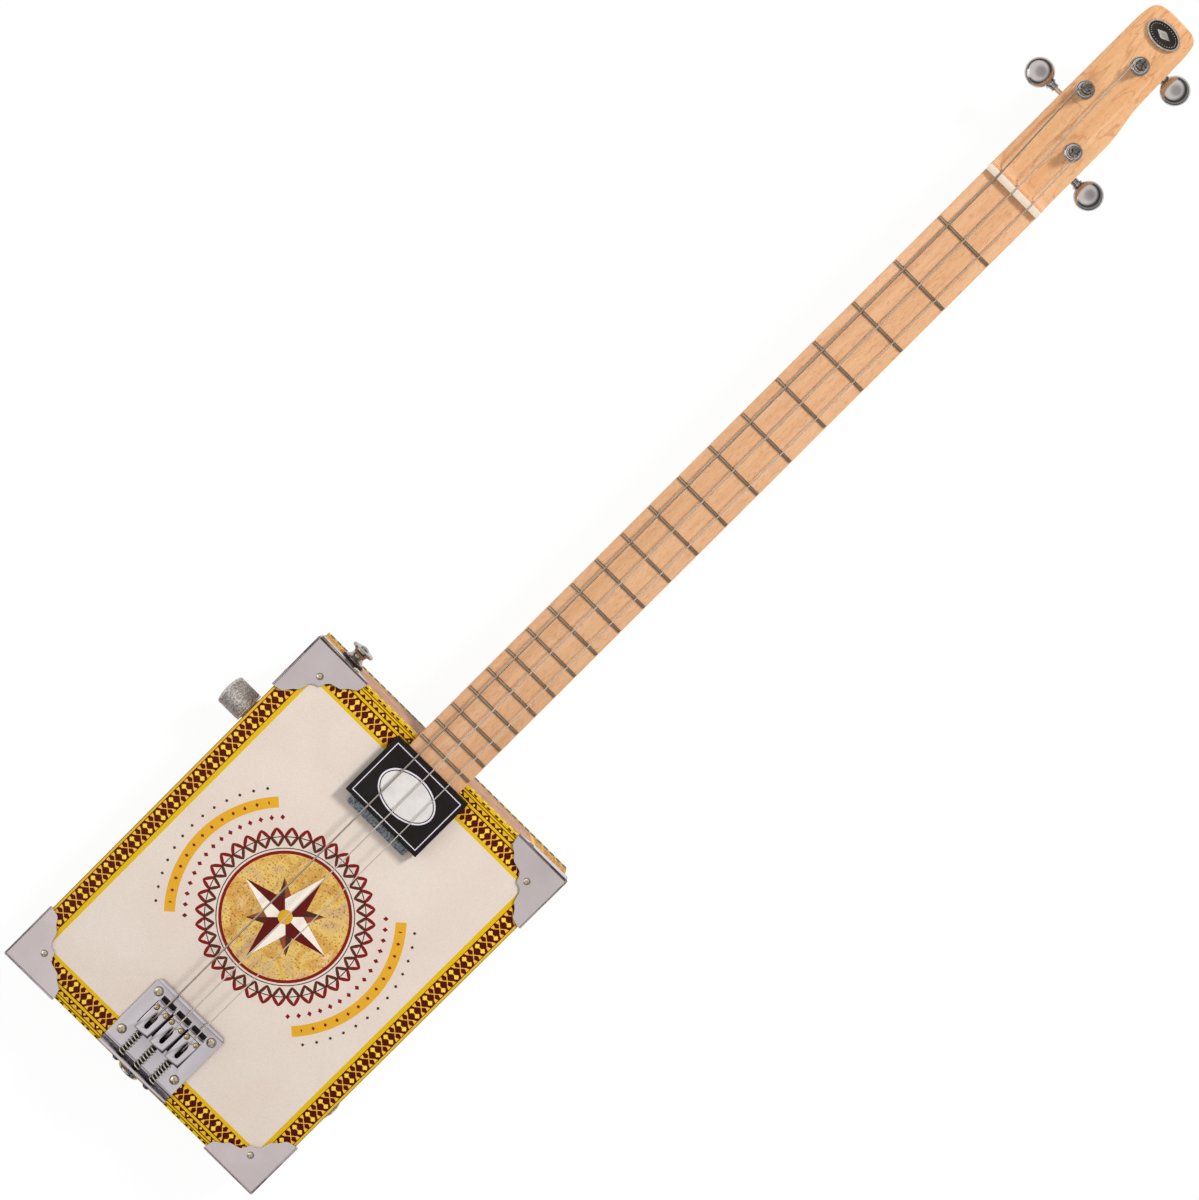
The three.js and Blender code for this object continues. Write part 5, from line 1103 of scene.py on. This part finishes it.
def saddle_strip(radius):
    """A bent strip with a grooved ridge, a pointed slot for the string and a rear tab."""
    line = [(saddle_rear, saddle_foot), (saddle_rear, saddle_top), (-82.6, saddle_top),
            (ridge_rear, ridge_top), (saddle_front, ridge_top), (saddle_front, saddle_foot),
            (ridge_rear, saddle_foot), (ridge_rear, saddle_under), (tab_front, saddle_under),
            (tab_front, saddle_foot)]
    strip = along_x(line, 5.2)
    slot_line = [(-1.4, -96.4), (-0.9, -97.2), (0, -97.6), (0.9, -97.2), (1.4, -96.4),
                 (1.4, -88.9), (0.5, -87.0), (0, -86.6), (-0.5, -87.0), (-1.4, -88.9)]
    slot = slab(slot_line, 53, 58)
    groove = aimed(round_bar(radius + 0.3, -4, 4, 12), (0, ridge_middle, ridge_top + 0.3),
                   (0, 1, 0))
    hole = aimed(round_bar(screw_hole, -2, 2), (0, (saddle_rear + tab_front) / 2, screw_height),
                 (0, 1, 0))
    return softened(carved(strip, slot, groove, hole), 0.22, 2, angle=50)


def set_screw(x):
    """A set screw with a small socket, which stands the saddle off the plate."""
    line = [(0, 48.1), (1.2, 48.1), (1.5, 48.6)]
    threads, pitch = 13, 0.5
    for thread in range(threads):
        start = saddle_foot + pitch * thread
        line += [(1.32, start + 0.12), (1.5, start + 0.37)]
    line += [(1.72, 55.75), (1.72, 56.1), (1.5, 56.45), (1.1, 56.65), (0, 56.7)]
    rod = turned(line, 20)
    socket = turned([(0, 55.4), (0.42, 55.9), (0.5, 57), (0, 57)], 6)
    return aimed(carved(rod, socket), (x, -84.3, 0))


def intonation_screw():
    """The long screw through the lip, with its cross recess and its fine thread."""
    line = [(0, 0), (1.6, 0), (2.2, 0.6), (2.2, 2.2), (1.35, 2.2), (1.35, 3.4)]
    threads, pitch = 42, 0.49
    for thread in range(threads):
        start = 3.6 + pitch * thread
        line += [(1.2, start + 0.05), (1.35, start + 0.3)]
    line += [(1.0, 24.4), (0, 24.4)]
    rod = aimed(turned(line, 18), (0, -122.7, screw_height), (0, 1, 0))
    slots = [block((-x, -123.5, screw_height - z), (x, -121.75, screw_height + z))
             for x, z in ((1.3, 0.35), (0.35, 1.3))]
    return carved(rod, *slots)


spring_start = lip_front + 0.3


def spring():
    """A round-wire compression spring between the lip and the saddle's tab."""
    start, end, mean, wire = spring_start, saddle_rear - 0.3, 2.12, 0.35
    points = [(mean, start + wire, 0)]
    curls, per_curl = 7, 24
    steps = curls * per_curl
    for step in range(steps + 1):
        angle = math.tau * step / per_curl
        y = start + 2 * wire + (end - start - 4 * wire) * step / steps
        points.append((mean * math.cos(angle), y, mean * math.sin(angle)))
    points.append((mean, end - wire, 0))
    coil = tube(points, wire, 8)
    bmesh.ops.translate(coil, vec=(0, 0, screw_height), verts=coil.verts)
    return coil


for name, x in bridge_places.items():
    radius = string_radii[name]
    pieces = {
        "saddle_strip": (saddle_strip(radius), f"saddle_body_{name}", "satin_chrome",
                         bridge_sheet, "saddle"),
        "set_screws": (joined(*[set_screw(at) for at in (-3.55, 3.55)]),
                       f"saddle_body_{name}", "satin_chrome", bronze, "saddle"),
        "intonation_rod": (intonation_screw(), f"intonation_{name}", "nickel", painted_shade_nickel,
                           "intonation_screw"),
        "spring_coil": (spring(), "guitar", "spring_steel", spring_steel, "intonation_spring"),
    }
    for piece, (shape, body, slot, finish, node) in pieces.items():
        bmesh.ops.translate(shape, vec=(x, 0, 0), verts=shape.verts)
        made = place(f"{piece}_{name}", shape, body, finish, f"{node}_{name}")
        if piece == "spring_coil":
            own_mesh(made)

# ---- Strings ------------------------------------------------------------------------------

clearance, winding_turns, per_turn = 0.3, 1.75, 48
for name, radius in string_radii.items():
    post_x, post_y = post_places[name]
    nut_x, bridge_x, side = nut_places[name], bridge_places[name], winding_sides[name]

    # Out of the post's hole, round its waist and over the nut
    around = post_waist + clearance + radius
    to_nut = math.atan2(nut_back - post_y, nut_x - post_x)
    reach = math.hypot(nut_back - post_y, nut_x - post_x)
    tangent = to_nut + side * math.acos(around / reach)
    low, rise = post_foot + radius, 2 * radius + 0.55
    windings = []
    for step in range(int(winding_turns * per_turn) + 1):
        angle = tangent + side * math.tau * step / per_turn
        windings.append((post_x + around * math.cos(angle), post_y + around * math.sin(angle),
                         low + rise * step / per_turn))
    turns = winding_turns + 1 / 8
    last = tangent + side * math.tau * turns
    wrap = post_waist + clearance
    into_post = [(post_x + r * math.cos(last), post_y + r * math.sin(last), low + rise * turns)
                 for r in (2.0, wrap, wrap + 2 * radius)]
    nut_height = slot_floor + clearance
    over_nut = [(nut_x, nut_back, nut_height), (nut_x, nut_front, nut_height)]
    run = [*into_post, *reversed(windings), *over_nut]
    wire = wound_wire if name == "bass" else plain_wire
    slot = "nickel" if name == "bass" else "spring_steel"
    node = f"string_{name}"
    place(f"string_winding_{name}", tube(run, radius, 10), "guitar", wire, node)

    # To the saddle's ridge and down through its slot.
    ridge = (bridge_x, ridge_middle, ridge_top + clearance)
    dive = (bridge_x, -86.6, saddle_top + radius + clearance)
    middle = (bridge_x, -90.2, saddle_under)
    span = place(f"string_run_{name}", tube([over_nut[1], ridge, dive, middle], radius, 12),
                 None, wire, node)
    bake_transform(span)

    # From the slot to the bridge plate, from the saddle back to the guitar
    foot = (bridge_x, string_hole, 49.4)
    drop = place(f"string_drop_{name}", tube([middle, (bridge_x, -92.72, 52.5), foot], radius, 12),
                 None, wire, node)
    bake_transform(drop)

    # Down through the body to the ball in its seat
    ball = turned([(0, -1.85), (1.1, -1.85), (1.8, -1.2), (1.8, 0.8), (1.1, 1.5), (0, 1.5)], 24)
    inside = tube([foot, (bridge_x, string_hole, 1.0)], radius, 12)
    place(f"string_end_{name}", joined(inside, aimed(ball, (bridge_x, string_hole, 0))),
          "guitar", wire, node)

anchor = softened(slab(rectangle(16.5, 5, (0, string_hole)), 0, 2.1), 0.5, 2)
seats = [aimed(round_bar(2.4, -1, 1.5, 24), (x, string_hole, 0)) for x in bridge_places.values()]
place("anchor_bar", carved(anchor, *seats), "guitar", nickel, "string_anchor")

# ---- Pickup -------------------------------------------------------------------------------

def rounded_rectangle(x0, y0, x1, y1, radius, steps=6):
    """A rectangle's outline with round corners."""
    line = []
    for cx, cy, quarter in ((x1 - radius, y1 - radius, 0), (x0 + radius, y1 - radius, 1),
                            (x0 + radius, y0 + radius, 2), (x1 - radius, y0 + radius, 3)):
        for step in range(steps + 1):
            angle = (quarter + step / steps) * math.pi / 2
            line.append((cx + radius * math.cos(angle), cy + radius * math.sin(angle)))
    return line


half_cover, cover_rear, cover_front, cover_top = 27.0, 76.2, 117.7, 53.5
cover = slab(rounded_rectangle(-half_cover, cover_rear, half_cover, cover_front, 0.5), 48.2,
             cover_top)
place("pickup_shell", softened(cover, 0.5, 3, angle=50), "guitar",
      black_plastic, "pickup_cover")

# The printed line round the cover, and the bare oval badge with its edge
inset, line_width, ink_low = 2.6, 0.5, 53.4
middle = (0, (cover_rear + cover_front) / 2)
line_x, line_y = half_cover - inset, (cover_front - cover_rear) / 2 - inset
frame_line = carved(slab(rectangle(line_x, line_y, middle), ink_low, 53.53),
                    slab(rectangle(line_x - line_width, line_y - line_width, middle), 53, 54))
place("pickup_line", frame_line, "guitar", frame_paint, "pickup_cover")
for piece, half_x, half_y, level, finish in (
    ("pickup_badge_edge", 18.6, 12.6, 53.58, frame_paint),
    ("pickup_badge_line", 17.7, 11.7, 53.66, black_plastic),
    ("pickup_badge", 17.1, 11.1, 53.75, badge_paint),
):
    badge = slab(oval(half_x, half_y, (0, 97), 72), ink_low, level)
    place(piece, softened(badge, 0.06, 1, angle=50), "guitar", finish,
          "pickup_cover")
base = slab(rounded_rectangle(-21.8, 70.8, 21.8, 115.8, 1.0), box_depth, 48.25)
place("pickup_foot", softened(base, 0.3, 2, angle=50), "guitar",
      mottled_plastic, "pickup_base")

# ---- Knob, jack, strap buttons ------------------------------------------------------------

def knurled_knob():
    """A turned knob: diamond knurling up to a slightly domed end."""
    around, rows, low, high, ridge, pit = 132, 34, 0.9, 15.3, 9.3, 8.9
    grip = bmesh.new()
    rings = []
    for row in range(rows + 1):
        ring = []
        for column in range(around):
            radius = ridge if (row + column) % 2 and 0 < row < rows else pit
            angle = math.tau * column / around
            ring.append(grip.verts.new((radius * math.cos(angle), radius * math.sin(angle),
                                        low + (high - low) * row / rows)))
        rings.append(ring)
    for below, above in zip(rings, rings[1:]):
        for column in range(around):
            after = (column + 1) % around
            grip.faces.new((below[column], below[after], above[after], above[column]))
    grip.faces.new(rings[0])
    grip.faces.new(rings[-1])
    body = turned([(7.8, 0), (9.1, 0), (9.3, 0.3), (9.1, 0.8), (8.8, 0.9), (8.8, 15.25),
                   (9.1, 15.3), (9.0, 15.6), (8.3, 16.1), (6.6, 16.7), (4.4, 17.1), (2.2, 17.3),
                   (0, 17.35)], 64)
    cavity = turned([(7.8, 0), (7.8, 4.2), (0, 4.2)], 64)
    bmesh.ops.reverse_faces(cavity, faces=cavity.faces)
    return joined(grip, body, cavity)


def outwards(shape, y):
    """A part drawn about Z, set on the bass wall at this place along the box."""
    return aimed(shape, (-half_width, y, mid_z), (-1, 0, 0))


knob = aimed(knurled_knob(), (-96.2, knob_y, mid_z), (-1, 0, 0))
place("volume_grip", knob, "volume", knob_chrome, "volume_knob", angle=12)
shaft = turned([(0, -8), (3.1, -8), (3.1, 13.4), (2.5, 14), (0, 14)], 32)
place("volume_shaft", outwards(shaft, knob_y), "volume", nickel, "pot_shaft")


def hex_nut(radius, edge):
    """A nut on a bushing, seated on the wall."""
    return carved(softened(slab(oval(radius, radius, steps=6), 0.3, 2.3), edge, 2),
                  round_bar(4.75, -1, 4, 32))


pot = joined(
    turned([(0, -14.5), (11.4, -14.5), (12, -13.9), (12, -6.6), (11.4, -6), (0, -6)], 48),
    turned([(3.3, -6), (4.7, -6), (4.7, 3.7), (4.4, 4), (3.3, 4), (3.3, -6)], 32),
)
place("volume_pot_can", outwards(pot, knob_y), "guitar", nickel, "volume_pot")
place("volume_pot_nut", outwards(hex_nut(7.2, 0.3), knob_y), "guitar", nickel,
      "volume_pot")

sleeve = turned([(3.3, -22), (4.7, -22), (4.7, -9), (8, -9), (8, -6.3), (4.7, -6.3), (4.7, 2.8),
                 (4.3, 3.2), (3.6, 3.2), (3.3, 2.9), (3.3, -22)], 40)
contact = softened(block((-2, -6.0, -27), (2, -5.2, -6)), 0.2, 1)
jack = joined(hex_nut(7, 0.35), sleeve, contact)
place("jack_socket", aimed(jack, (half_width, jack_y, mid_z), (1, 0, 0)), "guitar",
      nickel, "output_jack")

for name, at, direction in (("neck_end", (-73.7, half_length, mid_z), (0, 1, 0)),
                            ("tail_end", (0, -half_length, 15), (0, -1, 0))):
    washer = softened(turned([(1.9, 0.3), (7.2, 0.3), (7.2, 1.5), (1.9, 1.5), (1.9, 0.3)], 48),
                      0.3, 2, angle=50)
    place(f"felt_{name}", aimed(washer, at, direction), "guitar", felt,
          f"strap_washer_{name}")
    line = [(0, 1.8), (6.2, 1.8), (6.4, 2.0), (6.4, 2.6), (6.0, 2.8)]
    line += flowing_line([(5.2, 3.2), (4.15, 4.6), (4.0, 5.8), (4.3, 7.2), (5.4, 8.1)], 4)
    line += [(6.6, 8.3), (7.1, 8.6), (7.2, 9.1), (7.1, 9.7), (6.7, 10.1), (6.1, 10.3), (0, 10.3)]
    head = dome_screw((0, 0, 10.3), (0, 0, 1), 3.0, 0.7)
    whole = joined(turned(line, 56), head)
    place(f"strap_peg_{name}", aimed(whole, at, direction), "guitar", peg_chrome,
          f"strap_button_{name}")

# ---- Headstock plaque ---------------------------------------------------------------------

plaque = px, py = -2.2, 679.8
field = slab(oval(9.6, 5.7, plaque), box_depth, 46.9)
rim = carved(slab(oval(10.6, 6.6, plaque), box_depth, 47.6), slab(oval(9.5, 5.5, plaque), 45, 49))
beads = [aimed(turned([(0, 46.8), (0.36, 46.8), (0.36, 47.0), (0.26, 47.2), (0, 47.3)], 8),
               (x, y, 0)) for x, y in oval(8.3, 4.4, plaque)[::2]]
lozenge = softened(slab([(px - 5, py), (px, py - 2.4), (px + 5, py), (px, py + 2.4)], 46.8, 47.4),
                   0.3, 2, angle=50)
place("plaque_rim", softened(rim, 0.25, 2, angle=50), "guitar", pewter,
      "headstock_plaque")
place("plaque_relief", joined(lozenge, *beads), "guitar", pewter, "headstock_plaque")
place("plaque_field", field, "guitar", dark_pewter, "headstock_plaque")

# ---- Leads inside the box -----------------------------------------------------------------

# Each flows along the points that the part's source gives the same lead
lead_routes = {
    "pickup_lead": [(24, 96.95, 46), (24, 96.95, 39), (24, 94, 28), (16, 90, 18), (-10, 84, 15),
                    (-45, 74, 16), (-68, 68, 19), (-79.9, 67.5, 20.5)],
    "output_lead": [(-79.9, 62.5, 25.5), (-66, 60, 23), (-50, 46, 12), (-30, 10, 8), (10, -30, 8),
                    (44, -56, 10), (57, -64.5, 16), (65.2, -64.5, 18)],
    "ground_lead": [(86, -69.5, 18), (78, -71, 17), (58, -78, 14), (36, -88, 16), (23.5, -92, 26),
                    (22.2, -93.8, 39), (22.2, -93.8, 45.7)],
}
for name, route in lead_routes.items():
    place(f"{name}_wire", tube(route, 0.9, 10, flowing=True), "guitar",
          lead_plastic, name)

screw_head.free()
protector.free()

# ---- Floor, light and camera --------------------------------------------------------------

floor_height = -0.00195
floor_mesh = bpy.data.meshes.new("floor")
backdrop = bmesh.new()
bmesh.ops.create_grid(backdrop, x_segments=1, y_segments=1, size=4.0)
bmesh.ops.translate(backdrop, vec=(0, 0.28, floor_height), verts=backdrop.verts)
backdrop.to_mesh(floor_mesh)
backdrop.free()
floor = bpy.data.objects.new("floor", floor_mesh)
bpy.context.collection.objects.link(floor)

# Matt white backdrop paper: it glows plain white to the camera and in metal and glass, and
# keeps the object's soft shadow
floor_white = bpy.data.materials.new("white_backdrop")
floor_white.use_nodes = True
tree = floor_white.node_tree
tree.nodes.clear()
matt = add(tree, "BsdfDiffuse", {"Color": linear("#FAFAFA")})
glow = add(tree, "Emission", {"Color": (1, 1, 1, 1), "Strength": 1.02})
rays = add(tree, "LightPath")
seen = add(tree, "Math", {0: rays.outputs["Is Camera Ray"], 1: rays.outputs["Is Glossy Ray"]},
           operation="MAXIMUM")
seen = add(tree, "Math", {0: seen, 1: rays.outputs["Is Transmission Ray"]}, operation="MAXIMUM")
share = add(tree, "Math", {0: seen, 1: 0.92}, operation="MULTIPLY")
blend = add(tree, "MixShader", {0: share, 1: matt, 2: glow})
add(tree, "OutputMaterial", {"Surface": blend})
floor_mesh.materials.append(floor_white)

world = bpy.data.worlds.new("studio")
bpy.context.scene.world = world
world.use_nodes = True
tree = world.node_tree
tree.nodes.clear()

# What metal mirrors: grey walls, a dark band above them, and a white ceiling that is a little
# greyer straight overhead
upwards = add(tree, "VectorMath", {0: add(tree, "TexCoord").outputs["Generated"],
                                   1: (-0.22, 0.1, 0.97)}, operation="DOT_PRODUCT")
walls = add(tree, "ValToRGB", {"Fac": upwards.outputs["Value"]}, stops=(
    (0.0, "#5A5A5C"), (0.82, "#FFFFFF"), (0.25, "#A4A4A6"), (0.42, "#98989A"), (0.56, "#444448"),
    (0.7, "#38383C"), (0.76, "#B4B4B6")))
towards = add(tree, "VectorMath", {0: add(tree, "TexCoord").outputs["Generated"],
                                   1: (0.06, 0.22, 0.973)}, operation="DOT_PRODUCT")
ceiling = add(tree, "ValToRGB", {"Fac": towards.outputs["Value"]}, stops=(
    (0.87, "#FFFFFF"), (0.993, "#B4B4B6"), (0.94, "#F0F0F0")))
walls = add(tree, "Mix", {"Factor": 1.0, "A": walls, "B": ceiling}, data_type="RGBA",
            blend_type="MULTIPLY")

# A soft even light on the object, the mirrored room for glossy rays and plain white for the rest
rays = add(tree, "LightPath")
soft = add(tree, "Background", {"Color": (1, 1, 1, 1), "Strength": 0.55})
mirrored = add(tree, "Background", {"Color": walls.outputs[2], "Strength": 1.0})
plain = add(tree, "Background", {"Color": (1, 1, 1, 1), "Strength": 1.0})
near = add(tree, "MixShader", {0: rays.outputs["Is Glossy Ray"], 1: soft, 2: mirrored})
through = add(tree, "Math", {0: rays.outputs["Is Camera Ray"],
                             1: rays.outputs["Is Transmission Ray"]}, operation="MAXIMUM")
add(tree, "OutputWorld", {"Surface": add(tree, "MixShader", {0: through, 1: near, 2: plain})})


def soft_lamp(name, at, target, watts, size):
    """A square soft box that looks at a point."""
    lamp = bpy.data.lights.new(name, "AREA")
    lamp.energy = watts
    lamp.size = size
    box = bpy.data.objects.new(name, lamp)
    bpy.context.collection.objects.link(box)
    box.location = at
    box.rotation_euler = (Vector(target) - Vector(at)).to_track_quat("-Z", "Y").to_euler()


# A broad sun, not mirrored, so that it falls evenly along the whole guitar
key = bpy.data.lights.new("key_light", "SUN")
key.energy = 2.5
key.angle = 0.2
sun = bpy.data.objects.new("key_light", key)
bpy.context.collection.objects.link(sun)
sun.visible_glossy = False
sun.rotation_euler = Vector((0.22, 0.79, 0.58)).to_track_quat("Z", "Y").to_euler()
soft_lamp("fill_light", (-1.6, -0.9, 1.6), (0, 0.2, 0), 9, 1.6)

# The camera was fitted to the photograph's frets, box corners and tuners
camera_data = bpy.data.cameras.new("camera")
camera_data.lens = 85.863
camera_data.sensor_width = 36.0
camera = bpy.data.objects.new("camera", camera_data)
bpy.context.collection.objects.link(camera)
back = Vector((-0.03880, 0.06615, 0.99706)).normalized()
across_photo = Vector((0.99925, 0.00123, 0.03880)) + Vector((0.00134, 0.99781, -0.06615))
right = (across_photo - across_photo.dot(back) * back).normalized()
up = back.cross(right)
turn = Matrix((right, up, back)).transposed().to_4x4()
camera.matrix_world = Matrix.Translation((-0.06243, 0.35249, 1.61415)) @ turn
bpy.context.scene.camera = camera
bpy.context.scene.view_settings.view_transform = "Standard"

bpy.context.view_layer.update()
